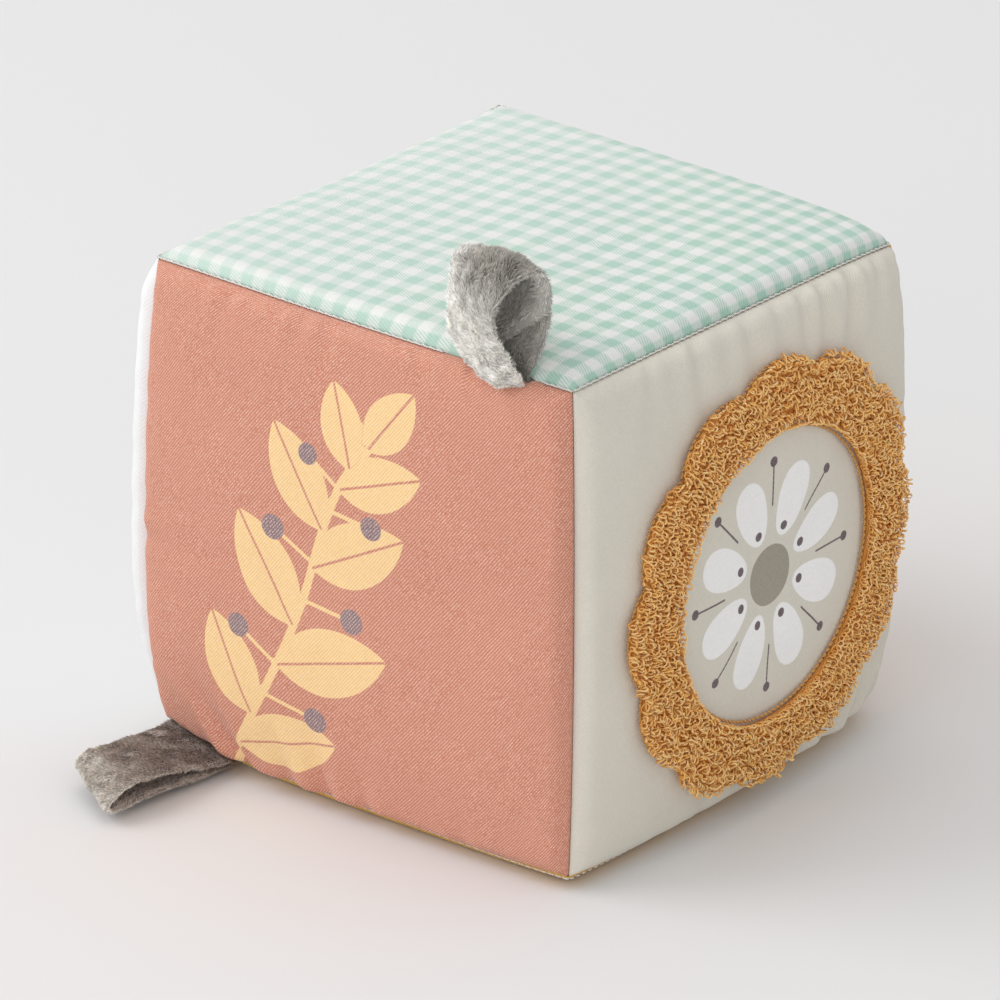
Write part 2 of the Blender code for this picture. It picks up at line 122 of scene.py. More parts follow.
def waves(rng, count, shortest, longest):
    # smooth random relief as a sum of sine waves, about 1 high
    length = np.exp(rng.uniform(math.log(shortest), math.log(longest), count))
    way = rng.uniform(0, 2 * math.pi, count)
    phase = rng.uniform(0, 2 * math.pi, count)
    kx, ky = 2 * math.pi * np.cos(way) / length, 2 * math.pi * np.sin(way) / length
    weight = (length / longest) ** 0.5

    def relief(x, y):
        total = np.zeros(np.shape(x))
        for a, b, c, w in zip(kx, ky, phase, weight):
            total += w * np.sin(a * x + b * y + c)
        return total / math.sqrt((weight ** 2).sum() / 2) / 2

    return relief


# The shape of the stuffed block

# All lengths in metres, as the part has them
block = {
    "seamToSeam": 0.130, "seamGap": 0.00020, "rollDepth": 0.002594, "creaseDepth": 0.0024,
    "edgeRollAngle": 47, "seamLift": 0.0010, "settled": 0.965, "crownPower": 3.0, "cornerPower": 5.0,
    "bow": 0.030, "bowPower": 8.0, "clothThick": 0.0008,
    # shares of half the block by which uneven filling pushes corners and seams along x, y and z
    "push": {(-1, -1, 1): (0.015, 0.023, 0.019), (-1, 1, 1): (0.056, 0.056, 0.028),
             (1, 1, 1): (0.010, 0.008, 0.002), (1, -1, 1): (-0.011, -0.012, -0.007),
             (-1, -1, -1): (-0.017, -0.019, 0.0), (0, -1, 1): (0.0, 0.0, -0.011),
             (0, 1, 1): (0.0, 0.0, -0.009), (-1, 0, 1): (0.015, 0.0, -0.033),
             (-1, -1, 0): (0.003, 0.0, 0.0), (1, -1, 0): (0.011, 0.0, 0.0),
             (0, -1, -1): (0.0, 0.029, 0.0)}, "pushPower": 1.5,
    "crown": {"top": 0.030, "front": 0.044, "right": 0.044, "left": 0.046, "back": 0.046, "bottom": 0.0},
    "corner": {(1, -1, 1): 0.034, (-1, -1, 1): 0.045, (1, 1, 1): 0.075, (-1, 1, 1): 0.020,
               (1, -1, -1): 0.042, (-1, -1, -1): 0.115, (1, 1, -1): 0.095, (-1, 1, -1): 0.080},
}
# each face: axis that it looks along, which way, and the two axes in it
faceAxes = {"top": (2, 1, 0, 1), "bottom": (2, -1, 0, 1), "front": (1, -1, 0, 2),
            "back": (1, 1, 0, 2), "right": (0, 1, 1, 2), "left": (0, -1, 1, 2)}

rollAngle = math.radians(block["edgeRollAngle"])
rollDepth = block["rollDepth"]
half = block["seamToSeam"] / 2 + rollDepth
# the cloth closes over the crease a little further out than the part's rolled edges do
edgeRoll = block["creaseDepth"] / (1 - math.cos(rollAngle))
seamReach = half - block["creaseDepth"]
seamOffset = block["seamGap"] / 2 * math.sqrt(2)
rollStart = seamOffset + block["creaseDepth"] + edgeRoll * math.sin(rollAngle)
tableLevel = block["seamToSeam"] / 2 + block["seamLift"]


def placed(points, layer=0.0):
    # points of a plain cube, as they lie in the stuffed block that stands on the table
    points = np.asarray(points, dtype=float)
    reach = np.maximum(np.abs(points).max(axis=1, keepdims=True), 1e-9)
    onCube = points / reach
    scale = np.ones(len(points))
    done = np.zeros(len(points), dtype=bool)
    for face, (normal, sign, u, v) in faceAxes.items():
        here = (onCube[:, normal] * sign > 0.9999999) & ~done
        done |= here
        scale[here] += (block["crown"][face] * (1 - np.abs(onCube[here, u]) ** block["crownPower"])
                        * (1 - np.abs(onCube[here, v]) ** block["crownPower"]))
    for one, other, along in ((0, 1, 2), (0, 2, 1), (1, 2, 0)):
        scale -= (block["bow"] * np.abs(onCube[:, one] * onCube[:, other]) ** block["bowPower"]
                  * (1 - onCube[:, along] ** 2))
    for signs, share in block["corner"].items():
        scale -= share * np.prod(((1 + onCube * np.array(signs)) / 2) ** block["cornerPower"], axis=1)
    made = points * scale[:, None]
    made[:, 2] = (made[:, 2] + tableLevel) * block["settled"]
    onBlock = np.clip(points / half, -1, 1)
    for signs, shares in block["push"].items():
        near = np.full(len(points), half)
        for axis, sign in enumerate(signs):
            c = onBlock[:, axis]
            near = near * (((1 + sign * c) / 2) ** block["pushPower"] if sign else 1 - c * c)
        made += near[:, None] * np.array(shares)
    made[:, 2] = np.maximum(made[:, 2], layer)
    return made


def cubePoints(face, depth, u, v):
    normal, sign, uAxis, vAxis = faceAxes[face]
    depth, u, v = np.broadcast_arrays(depth, u, v)
    made = np.zeros((u.size, 3))
    made[:, normal] = sign * (half - depth.ravel())
    made[:, uAxis] = u.ravel()
    made[:, vAxis] = v.ravel()
    return made


# Cloth materials


def wovenCloth(name, values):
    # Cloth coordinates come from the OFBake map, in which a panel is mapSpan millimetres wide,
    # so that every thread follows its own panel over the rounded seams.
    look, add, shader = newMaterial(name)
    cloth = add("VectorMath SUBTRACT", (add("UVMap", uv_map="OFBake"), (0.5, 0.5, 0.0)))
    cloth = add("VectorMath SCALE", (cloth, mapSpan))
    drift = add("TexNoise", {"Vector": cloth, "Scale": values["wanderScale"], "Detail": 1.0})
    wander = (values["threadWander"],) * 3
    cloth = add("VectorMath MULTIPLY_ADD", (drift.outputs["Color"], wander, cloth))
    x, y = add("SeparateXYZ", (cloth,)).outputs[:2]

    # diagonal lines of the twill: 1 where the warp lies on top, 0 where the weft does
    way = Vector((*values["waleWay"], 0)).normalized()
    across = add("VectorMath DOT_PRODUCT", (cloth, (way.y, -way.x, 0)))
    along = add("VectorMath DOT_PRODUCT", (cloth, way))
    turn = add("Math MULTIPLY", (across, 2 * math.pi / values["walePitch"]))
    wale = add("Math MULTIPLY_ADD", (add("Math SINE", (turn,)), 0.5, 0.5))
    # single threads, seen as short beads along the diagonal lines
    bead = add("Math MULTIPLY", (along, 2 * math.pi / values["beadPitch"]))
    bead = add("Math SINE", (add("Math MULTIPLY_ADD", (turn, 0.5, bead)),))
    bead = add("Math MULTIPLY_ADD", (bead, values["beadDepth"] / 2, 1 - values["beadDepth"] / 2))
    weave = add("Math MULTIPLY", (wale, bead))

    slub = add("TexNoise", {"Vector": cloth, "Scale": values["slubScale"], "Detail": 3.0, "Roughness": 0.65})
    cloud = add("TexNoise", {"Vector": cloth, "Scale": values["cloudScale"], "Detail": 3.0})
    speck = add("TexNoise", {"Vector": cloth, "Scale": values["speckScale"], "Detail": 1.0})

    colour = values["ground"]
    if "stripes" in values:
        colour = ginghamColour(add, x, y, wale, values["stripes"])
    for layer in values.get("prints", ()):
        colour = add("Mix RGBA", (layer["mask"](add, x, y, weave), colour, layer["colour"]))
    # the raised threads are painted paler: partly a painted highlight where they catch the light, partly dye
    # worn paler
    fleck = add("MapRange", (speck, *values["speckRange"], 0.0, values["raisedShare"]))
    onTop = add("Math MULTIPLY_ADD", (weave, 1 - values["wearAndHighlightBelow"], values["wearAndHighlightBelow"]))
    colour = add("Mix RGBA", (add("Math MULTIPLY", (fleck, onTop)), colour, values["raised"]))
    # cloud and slub vary the tone at random; hollowShade is painted shade in the hollows between the twill's
    # lines
    shade = 1.0
    for pattern, depth in ((cloud, values["cloud"]), (slub, values["slub"]), (wale, values["hollowShade"] / 2)):
        part = add("Math MULTIPLY_ADD", (pattern, depth * 2, 1 - depth))
        shade = add("Math MULTIPLY", (part, shade))
    colour = add("VectorMath SCALE", (colour, shade))

    height = add("Math MULTIPLY_ADD", (slub, 0.5, weave))
    bump = add("Bump", {"Height": height, "Strength": values["bump"], "Distance": 0.0001})
    uneven = values["roughUneven"]
    rough = add("Math MULTIPLY_ADD", (slub, uneven, values["roughness"] - uneven / 2))
    setInputs(shader, {"Base Color": colour, "Roughness": rough, "Normal": bump,
                       "Specular IOR Level": values["shine"], "Sheen Weight": values["sheen"],
                       "Sheen Roughness": 0.5})
    return look


def ginghamColour(add, x, y, wale, stripes):
    # dyed and undyed threads in turn, both ways, crossing in the twill; the dye is painted paler to the
    # left, a painted highlight on the side of the top that faces the light
    fade = add("MapRange", (x, -stripes["highlightReach"], stripes["highlightReach"]))
    dyed = add("Mix RGBA", (fade, stripes["highlightedDye"], stripes["dye"]))
    threads = []
    for side in (x, y):
        wave = add("Math MULTIPLY_ADD", (side, 2 * math.pi / stripes["period"], stripes["shift"]))
        wave = add("Math SINE", (wave,))
        inStripe = add("MapRange", (wave, -stripes["blur"], stripes["blur"]),
                       interpolation_type="SMOOTHSTEP")
        threads.append(add("Mix RGBA", (inStripe, stripes["undyed"], dyed)))
    warpOver = add("Math MULTIPLY_ADD", (wale, stripes["hatch"], (1 - stripes["hatch"]) / 2))
    return add("Mix RGBA", (warpOver, threads[1], threads[0]))


def crisp(add, distance, weave, softness=0.09):
    # the edge of a print follows the raised threads a little; distance is in millimetres, positive inside
    distance = add("Math MULTIPLY_ADD", (weave, softness, distance))
    return add("MapRange", (distance, -softness / 2, softness * 1.5))


def shapeMask(layerName):
    # a printed shape from its signed distance in millimetres, kept at the mesh points
    def mask(add, x, y, weave):
        distance = add("Attribute", attribute_name=layerName).outputs["Fac"]
        return crisp(add, distance, weave)
    return mask


mapSpan = 150.0

twillBase = {"walePitch": 0.64, "beadPitch": 0.80, "beadDepth": 0.45, "threadWander": 0.6,
             "wanderScale": 0.07, "slubScale": 1.3, "cloudScale": 0.035, "speckScale": 4.2,
             "speckRange": (0.36, 0.62), "raisedShare": 0.5, "wearAndHighlightBelow": 0.15, "cloud": 0.05,
             "slub": 0.10, "hollowShade": 0.16, "bump": 0.55, "roughness": 0.86, "roughUneven": 0.16,
             "shine": 0.25, "sheen": 0.12}

# Printed designs

# A sprig of leaves and berries on the front, in millimetres from the middle of the panel
sprig = {
    "stem": [(-38, -72), (-30, -52), (-20, -32), (-11, -11), (-5, 9), (1, 24), (8, 34)],
    "stemHalf": 1.1,
    # place along the stem from 0 to 1, side, length, half width, angle from the stem
    "leaves": [(0.16, 1, 30, 8.2, 50), (0.24, -1, 27, 7.6, 52), (0.37, 1, 33, 8.8, 48),
               (0.46, -1, 30, 8.2, 54), (0.59, 1, 30, 8.0, 46), (0.68, -1, 28, 7.4, 50),
               (0.81, 1, 25, 6.8, 44), (0.89, -1, 22, 6.2, 50), (1.0, 0, 22, 6.2, 0)],
    # place along the stem, side, stalk length, angle, berry radius
    "berries": [(0.30, 1, 15, 76, 3.3), (0.37, -1, 13, 82, 3.0), (0.52, 1, 14, 78, 3.2),
                (0.60, -1, 13, 78, 3.2), (0.74, 1, 12, 74, 2.9), (0.81, -1, 11, 80, 2.7)],
    "stalkHalf": 0.55, "veinHalf": 0.32, "footFuller": 0.28, "tipSlimmer": 0.16, "farOff": 50.0,
}


def capsule(x, y, a, b, radius):
    ax, ay = a
    dx, dy = b[0] - ax, b[1] - ay
    t = np.clip(((x - ax) * dx + (y - ay) * dy) / (dx * dx + dy * dy), 0, 1)
    return radius - np.hypot(x - ax - t * dx, y - ay - t * dy)


def leafShape(x, y, root, way, length, halfWidth):
    # inside distance of a leaf made of two arcs, fuller near its root, and the offset from its rib
    along = (x - root[0]) * way[0] + (y - root[1]) * way[1]
    side = -(x - root[0]) * way[1] + (y - root[1]) * way[0]
    bulge = 1 + sprig["footFuller"] * np.clip(1 - along / length, 0, 1) - sprig["tipSlimmer"]
    b, w = length / 2, halfWidth
    radius = (b * b + w * w) / (2 * w)
    px, py = np.abs(side) / bulge, np.abs(along - b)
    arc = radius - np.hypot(px + radius - w, py)
    tip = -np.hypot(px, py - b)
    return np.where((py - b) * (radius - w) > px * b, tip, arc), side


def smoothLine(points, count):
    points = np.array(points, dtype=float)
    padded = np.vstack([2 * points[0] - points[1], points, 2 * points[-1] - points[-2]])
    made = []
    for k in range(len(points) - 1):
        p0, p1, p2, p3 = padded[k:k + 4]
        for t in np.linspace(0, 1, count, endpoint=False):
            made.append(0.5 * (2 * p1 + (p2 - p0) * t + (2 * p0 - 5 * p1 + 4 * p2 - p3) * t ** 2
                               + (3 * p1 - p0 - 3 * p2 + p3) * t ** 3))
    made.append(points[-1])
    return np.array(made)


def sprigLayers(x, y):
    # for points on the front cloth: distance into the leaves, into the berries, and off the nearest rib
    line = smoothLine(sprig["stem"], 10)
    leaf, berry, rib = (np.full(x.shape, sign * sprig["farOff"]) for sign in (-1, -1, 1))
    for a, b in zip(line, line[1:]):
        leaf = np.maximum(leaf, capsule(x, y, a, b, sprig["stemHalf"]))

    def turned(share, side, angle):
        place = share * (len(line) - 1)
        k = min(int(place), len(line) - 2)
        way = line[k + 1] - line[k]
        root = line[k] + way * (place - k)
        dx, dy = way / np.hypot(*way)
        a = -side * math.radians(angle)
        return root, (dx * math.cos(a) - dy * math.sin(a), dx * math.sin(a) + dy * math.cos(a))

    for share, side, length, wide, angle in sprig["leaves"]:
        inside, across = leafShape(x, y, *turned(share, side, angle), length, wide)
        rib = np.where((inside > -1.5) & (inside > leaf - 1), across, rib)
        leaf = np.maximum(leaf, inside)
    for share, side, length, angle, radius in sprig["berries"]:
        root, way = turned(share, side, angle)
        end = (root[0] + way[0] * length, root[1] + way[1] * length)
        leaf = np.maximum(leaf, capsule(x, y, root, end, sprig["stalkHalf"]))
        berry = np.maximum(berry, radius - np.hypot(x - end[0], y - end[1]))
    return {"sprigPrint": leaf, "berryPrint": berry, "ribOffset": rib}


def sprigMask(add, x, y, weave):
    # the leaves, with their middle rib left unprinted
    offset = add("Math ABSOLUTE", (add("Attribute", attribute_name="ribOffset").outputs["Fac"],))
    beside = add("MapRange", (offset, sprig["veinHalf"] - 0.1, sprig["veinHalf"] + 0.1))
    return add("Math MULTIPLY", (shapeMask("sprigPrint")(add, x, y, weave), beside))


# A round flower inside the looped ring, in millimetres from its middle
flower = {"middle": (3.0, -4.0), "petals": 8, "petalFrom": 9.5, "petalTo": 27.5, "petalHalf": 5.4,
          "footSqueeze": 1.27, "tipSqueeze": 0.83, "disc": 7.4, "seedRadius": 1.15, "seedAt": 12.0,
          "strokeHalf": 0.26, "strokeFrom": 17.5, "strokeTo": 28.5, "tipRadius": 1.25}


def flowerPolar(add, x, y, turned=0.0):
    # offset out along the nearest of the even rays, offset across it, and distance from the middle
    px, py = (add("Math SUBTRACT", (place, middle)) for place, middle in zip((x, y), flower["middle"]))
    radius = add("VectorMath LENGTH", (add("CombineXYZ", (px, py)),))
    step = 2 * math.pi / flower["petals"]
    angle = add("Math ADD", (add("Math ARCTAN2", (py, px)), 4 * math.pi + turned))
    angle = add("Math SUBTRACT", (add("Math MODULO", (angle, step)), step / 2))
    out, side = (add("Math " + work, (angle,)) for work in ("COSINE", "SINE"))
    return add("Math MULTIPLY", (radius, out)), add("Math MULTIPLY", (radius, side)), radius


def petalMask(add, x, y, weave):
    # one egg shape on each ray, squeezed more at its foot
    out, side, _ = flowerPolar(add, x, y)
    b, w = (flower["petalTo"] - flower["petalFrom"]) / 2, flower["petalHalf"]
    foot, tip = flower["footSqueeze"], flower["tipSqueeze"]
    along = add("Math MULTIPLY_ADD", (out, 1 / b, -flower["petalFrom"] / b - 1))
    squeeze = add("Math MULTIPLY_ADD", (along, (tip - foot) / 2, (tip + foot) / 2))
    across = add("Math MULTIPLY", (add("Math MULTIPLY", (side, 1 / w)), squeeze))
    size = add("VectorMath LENGTH", (add("CombineXYZ", (along, across)),))
    return crisp(add, add("Math MULTIPLY_ADD", (size, -w, w)), weave)


def discMask(add, x, y, weave):
    return crisp(add, add("Math SUBTRACT", (flower["disc"], flowerPolar(add, x, y)[2])), weave)


def strokeMask(add, x, y, weave):
    # thin strokes with a dot at each tip between the petals, and dots on each petal's foot
    out, side, _ = flowerPolar(add, x, y, math.pi / flower["petals"])
    middle = (flower["strokeFrom"] + flower["strokeTo"]) / 2
    past = add("Math ABSOLUTE", (add("Math SUBTRACT", (out, middle)),))
    past = add("Math MAXIMUM", (add("Math SUBTRACT", (past, middle - flower["strokeFrom"])), 0.0))
    beside = add("Math ADD", (add("Math ABSOLUTE", (side,)), past))
    made = add("Math SUBTRACT", (flower["strokeHalf"], beside))
    petalOut, petalSide, _ = flowerPolar(add, x, y)
    for ray, across, where, size in ((out, side, flower["strokeTo"], flower["tipRadius"]),
                                     (petalOut, petalSide, flower["seedAt"], flower["seedRadius"])):
        away = add("CombineXYZ", (add("Math SUBTRACT", (ray, where)), across))
        dot = add("Math SUBTRACT", (size, add("VectorMath LENGTH", (away,))))
        made = add("Math MAXIMUM", (made, dot))
    return crisp(add, made, weave)


clothValues = {
    # yarn-dyed cotton twill gingham: pale squares whose edges show the diagonal of the weave,
    # which is a little coarser than on the real cloth so that it shows
    "top": dict(twillBase, ground="#E9EBE8", raised="#F8F9F7", waleWay=(1, -0.5), walePitch=0.72,
                raisedShare=0.14, hollowShade=0.05, cloud=0.03, slub=0.06,
                stripes={"period": 7.2, "shift": 0.9, "highlightReach": 70.0, "dye": "#A3C8B6",
                         "highlightedDye": "#C6DACF", "undyed": "#E6E6E1", "hatch": 0.52, "blur": 0.45}),
    # piece-dyed cotton twill in terracotta: steep diagonal lines and pale thread tops, partly worn and
    # partly a painted highlight
    "front": dict(twillBase, ground="#C67A60", raised="#FFDCC8", waleWay=(1, 1.25), raisedShare=0.80,
                  sheen=0.15, slub=0.14, hollowShade=0.18,
                  prints=[{"mask": sprigMask, "colour": "#F6CF8C"},
                          {"mask": shapeMask("berryPrint"), "colour": "#7A6670"}]),
    # unbleached cotton in warm light grey: close and flat, with a dry hand
    "right": dict(twillBase, ground="#DCD6C8", raised="#EFEAE0", waleWay=(1, 2.4), walePitch=0.50,
                  raisedShare=0.30, hollowShade=0.06, slub=0.08, bump=0.40,
                  prints=[{"mask": petalMask, "colour": "#FBFAF8"}, {"mask": discMask, "colour": "#9B9484"},
                          {"mask": strokeMask, "colour": "#5E4B52"}]),
    # bleached cotton: white and clean, only its weave shows
    "left": dict(twillBase, ground="#EFEFEF", raised="#FAFAFA", waleWay=(1, 1.6), walePitch=0.60,
                 raisedShare=0.20, hollowShade=0.05, slub=0.05, bump=0.40),
    # piece-dyed cotton in mustard
    "back": dict(twillBase, ground="#D9953F", raised="#F2C684", waleWay=(1, 1.25), raisedShare=0.40),
    # piece-dyed cotton in ochre yellow
    "bottom": dict(twillBase, ground="#E3B04F", raised="#F6D894", waleWay=(1, 1.25), raisedShare=0.35),
}
clothNames = {"top": "ginghamCottonTwill", "front": "terracottaCottonTwill", "right": "greigeCotton",
              "left": "whiteCotton", "back": "mustardCottonTwill", "bottom": "ochreCottonTwill"}
clothLooks = {face: wovenCloth(clothNames[face], values) for face, values in clothValues.items()}
print("cloth materials made:", len(clothLooks))

# The six panels

panels = {
    "cells": {"top": 120, "front": 176, "right": 160, "left": 90, "back": 90, "bottom": 60},
    "rollRows": 7, "turnIn": 0.0024, "allowance": 0.006, "seed": 11,
    "puckersPerSeam": 17, "puckerReach": 0.92, "puckerStray": 0.0032, "puckerDrift": 0.25,
    "puckerDepth": (0.00005, 0.00020), "puckerWidth": (0.0013, 0.0028), "puckerLength": (0.005, 0.014),
    "widening": 0.6, "swell": 0.55, "swellAt": 1.7, "fadePower": 1.4,
    # a gather starts this far from its seam, further at the bottom
    "onset": 0.0026, "onsetBottom": 0.0050,
    "lumps": 0.00040, "ripple": 0.00006, "fade": 0.014,
}
# Gathers that stand out, for each face, the axis of the seam and its side: place along the seam, depth,
# width, length and drift, in mm
namedPuckers = {
    ("right", "v", 1): [
        (39.0, 1.60, 2.6, 25.0, -0.22), (26.7, 1.15, 2.3, 23.0, -0.15), (18.3, 1.00, 2.4, 19.0, -0.10),
        (-4.0, 0.75, 2.8, 22.0, 0.05), (-23.0, 0.90, 2.8, 24.0, 0.05), (-40.0, 0.55, 2.6, 16.0, 0.0),
        (52.0, 0.70, 2.2, 13.0, -0.30), (8.0, 0.55, 2.2, 15.0, 0.0)],
    ("right", "v", -1): [
        (44.0, 2.20, 2.8, 17.0, 0.30), (33.0, 1.60, 2.6, 14.0, 0.25), (22.0, 0.60, 2.2, 11.0, 0.10),
        (5.0, 0.60, 2.2, 11.0, 0.10), (-18.0, 0.45, 2.2, 10.0, 0.0)],
    ("front", "v", -1): [
        (-29.6, 2.60, 3.4, 18.0, -0.60), (-18.0, 1.40, 2.6, 11.0, -0.10), (-6.4, 2.20, 2.8, 14.0, -0.15),
        (5.5, 1.40, 2.4, 9.0, -0.10), (34.0, 0.60, 2.2, 9.0, 0.0)],
    ("front", "v", 1): [
        (-36.0, 0.60, 2.4, 14.0, -0.10), (-14.0, 0.60, 2.2, 13.0, -0.05), (-5.0, 0.45, 2.2, 12.0, -0.05),
        (20.0, 0.60, 2.4, 14.0, 0.30), (56.0, 0.50, 2.4, 11.0, -0.20)],
    ("front", "u", -1): [(-8.0, 0.45, 3.0, 26.0, 0.05)],
}


def clothLines(cells):
    # places, depths and cloth lengths of the lines across a panel, from one turned-in edge to the other
    reach = half - rollStart
    turns = np.linspace(0, rollAngle, panels["rollRows"] + 1)[1:]
    edge = half - (rollStart - edgeRoll * np.sin(turns))
    depth = edgeRoll * (1 - np.cos(turns))
    length = reach + edgeRoll * turns
    into = panels["turnIn"] / math.sqrt(2)
    edge, depth = np.append(edge, edge[-1] - into), np.append(depth, depth[-1] + into)
    length = np.append(length, length[-1] + panels["turnIn"])
    flat = np.linspace(-reach, reach, cells + 1)
    return (np.concatenate([-edge[::-1], flat, edge]),
            np.concatenate([depth[::-1], np.zeros(cells + 1), depth]),
            np.concatenate([-length[::-1], flat, length]))


ribbon = {"width": 0.0215, "core": 0.0200, "sewnThick": 0.0012, "topMiddle": 0.0415,
          "bottomMiddle": -0.0505, "gap": 0.0003}
# where the seams are held open, and how wide, beside each loop
loopOpenings = {("top", 1, -1): (ribbon["topMiddle"] + 0.0022, 0.0165),
                ("front", 2, 1): (ribbon["topMiddle"] + 0.0022, 0.0165),
                ("bottom", 1, -1): (ribbon["bottomMiddle"], 0.0205),
                ("front", 2, -1): (ribbon["bottomMiddle"], 0.0205)}


def openingAt(face, axis, side, x):
    # how far a seam is held open by the two layers of a ribbon
    if (face, axis, side) not in loopOpenings:
        return np.zeros_like(x)
    middle, wide = loopOpenings[face, axis, side]
    deep = (ribbon["sewnThick"] / 2 + ribbon["gap"] - block["seamGap"] / 2) * math.sqrt(2)
    return deep * np.clip(1 - (np.abs(x - middle) - wide / 2) / 0.0012, 0, 1)


# Where a panel puffs out past its seam: face, seam, side, height, distance from the seam, width, in mm
edgePuffs = [("left", "u", -1, 2.6, 4.6, 4.8)]


def smoothStep(x):
    x = np.clip(x, 0, 1)
    return x * x * (3 - 2 * x)


def panelRelief(face, u, v, rng):
    # puckers drawn in by each seam, soft lumps of the filling, and a faint ripple, in metres
    total = np.zeros(u.shape)
    reach = block["seamToSeam"] / 2
    rows = []
    for seam in ("u", "v"):
        for side in (-1, 1):
            count, stray, lean = panels["puckersPerSeam"], panels["puckerStray"], panels["puckerDrift"]
            evenly = np.linspace(-reach, reach, count) * panels["puckerReach"]
            for place in evenly + rng.uniform(-stray, stray, count):
                rows.append((seam, side, place, rng.uniform(*panels["puckerDepth"]),
                             rng.uniform(*panels["puckerWidth"]), rng.uniform(*panels["puckerLength"]),
                             rng.uniform(-lean, lean)))
    for (owner, seam, side), gathers in namedPuckers.items():
        for place, deep, wide, long, drift in gathers if owner == face else ():
            rows.append((seam, side, place / 1000, deep / 1000, 0.8 * wide / 1000, long / 1000, drift))
    for seam, side, place, deep, wide, long, drift in rows:
        along, across = (v, u) if seam == "u" else (u, v)
        away = np.maximum(reach - side * across, 0)
        x = (along - place - drift * away) / (wide * (1 + panels["widening"] * away / long))
        profile = -np.exp(-x * x) + panels["swell"] * np.exp(-(np.abs(x) - panels["swellAt"]) ** 2)
        onset = panels["onsetBottom"] if seam == "v" and side < 0 else panels["onset"]
        total += deep * profile * np.exp(-(away / long) ** panels["fadePower"]) * smoothStep(away / onset)
    for owner, seam, side, high, apart, wide in edgePuffs:
        if owner == face:
            along, across = (v, u) if seam == "u" else (u, v)
            away = (reach - side * across) * 1000
            ends = smoothStep((reach + along) / 0.045) * smoothStep((reach - along) / 0.012)
            puff = np.exp(-((away - apart) / wide) ** 2) * smoothStep((away + 0.2) / 1.6)
            total += high / 1000 * puff * ends
    fade = smoothStep((reach - np.maximum(np.abs(u), np.abs(v))) / panels["fade"])
    total += panels["lumps"] * fade * waves(rng, 14, 0.030, 0.085)(u, v)
    total += panels["ripple"] * fade * waves(rng, 20, 0.008, 0.022)(u, v)
    return total


def windsInward(face):
    # whether a grid over the two axes of a face shows its back to the outside
    normal, sign, uAxis, vAxis = faceAxes[face]
    return np.cross(np.eye(3)[uAxis], np.eye(3)[vAxis])[normal] * sign < 0


def makePanel(face, number):
    normal, sign, _, vAxis = faceAxes[face]
    lines, depths, lengths = clothLines(panels["cells"][face])
    count = len(lines)
    u, v = np.meshgrid(lines, lines, indexing="ij")
    depth = np.maximum(*np.meshgrid(depths, depths, indexing="ij"))
    for side in (-1, 1):
        near = smoothStep((side * v - (half - rollStart - 0.006)) / 0.006)
        v = v - side * near * openingAt(face, vAxis, side, u)
    points = placed(cubePoints(face, depth, u, v)).reshape(count, count, 3)
    relief = panelRelief(face, u, v, np.random.default_rng(panels["seed"] + number))
    relief[[0, -1], :] = 0
    relief[:, [0, -1]] = 0
    if face == "bottom":
        relief *= 0.0
    out = unit(np.cross(np.gradient(points, axis=0), np.gradient(points, axis=1)))
    right = np.zeros(3)
    right[normal] = sign
    out *= np.sign((out * right).sum(axis=2, keepdims=True) + 1e-12)
    points = points + out * relief[:, :, None]
    points[:, :, 2] = np.maximum(points[:, :, 2], 0.0)
    flip = windsInward(face)
    faces = gridFaces(count, count, flip=flip)
    piece = meshPiece(face + "_cloth", points.reshape(-1, 3), faces, clothLooks[face])

    mapLayer = piece.data.uv_layers.new(name="OFBake")
    mu, mv = np.meshgrid(lengths, lengths, indexing="ij")
    mirror = -1 if flip else 1
    place = np.stack([mirror * mu, mv], axis=2).reshape(-1, 2) * 1000 / mapSpan + 0.5
    corners = np.empty(len(piece.data.loops), dtype=np.int32)
    piece.data.loops.foreach_get("vertex_index", corners)
    mapLayer.data.foreach_set("uv", place[corners].astype(np.float32).ravel())
    if face == "front":
        for name, values in sprigLayers(mu * 1000, mv * 1000).items():
            pointValues(piece, name, values)

    shell = piece.modifiers.new("clothThickness", "SOLIDIFY")
    shell.thickness = block["clothThick"]
    shell.offset = -1
    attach(piece, blockBody)
    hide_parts(face + "_panel")


# The filling

filling = {"cells": 26, "inset": 0.0042, "offTable": 0.0022, "lowest": 0.0016, "ball": 1.22,
           "rounding": 0.05, "edgeIn": 0.10, "edgePower": 10, "tufts": 0.0006, "tuftSize": (0.02, 0.06),
           "halfSize": 0.065, "seed": 5}


def fibreFilling():
    # hollow polyester fibre: white, matt and downy, in soft tufts
    look, add, shader = newMaterial("polyesterFibre")
    place = add("TexCoord").outputs["Object"]
    tuft = add("TexNoise", {"Vector": place, "Scale": 160.0, "Detail": 5.0, "Roughness": 0.7})
    colour = add("Mix RGBA", (tuft, "#E2E1DE", "#F6F6F4"))
    bump = add("Bump", {"Height": tuft, "Strength": 0.8, "Distance": 0.0006})
    setInputs(shader, {"Base Color": colour, "Normal": bump, "Roughness": 0.95, "Sheen Weight": 0.4})
    return look


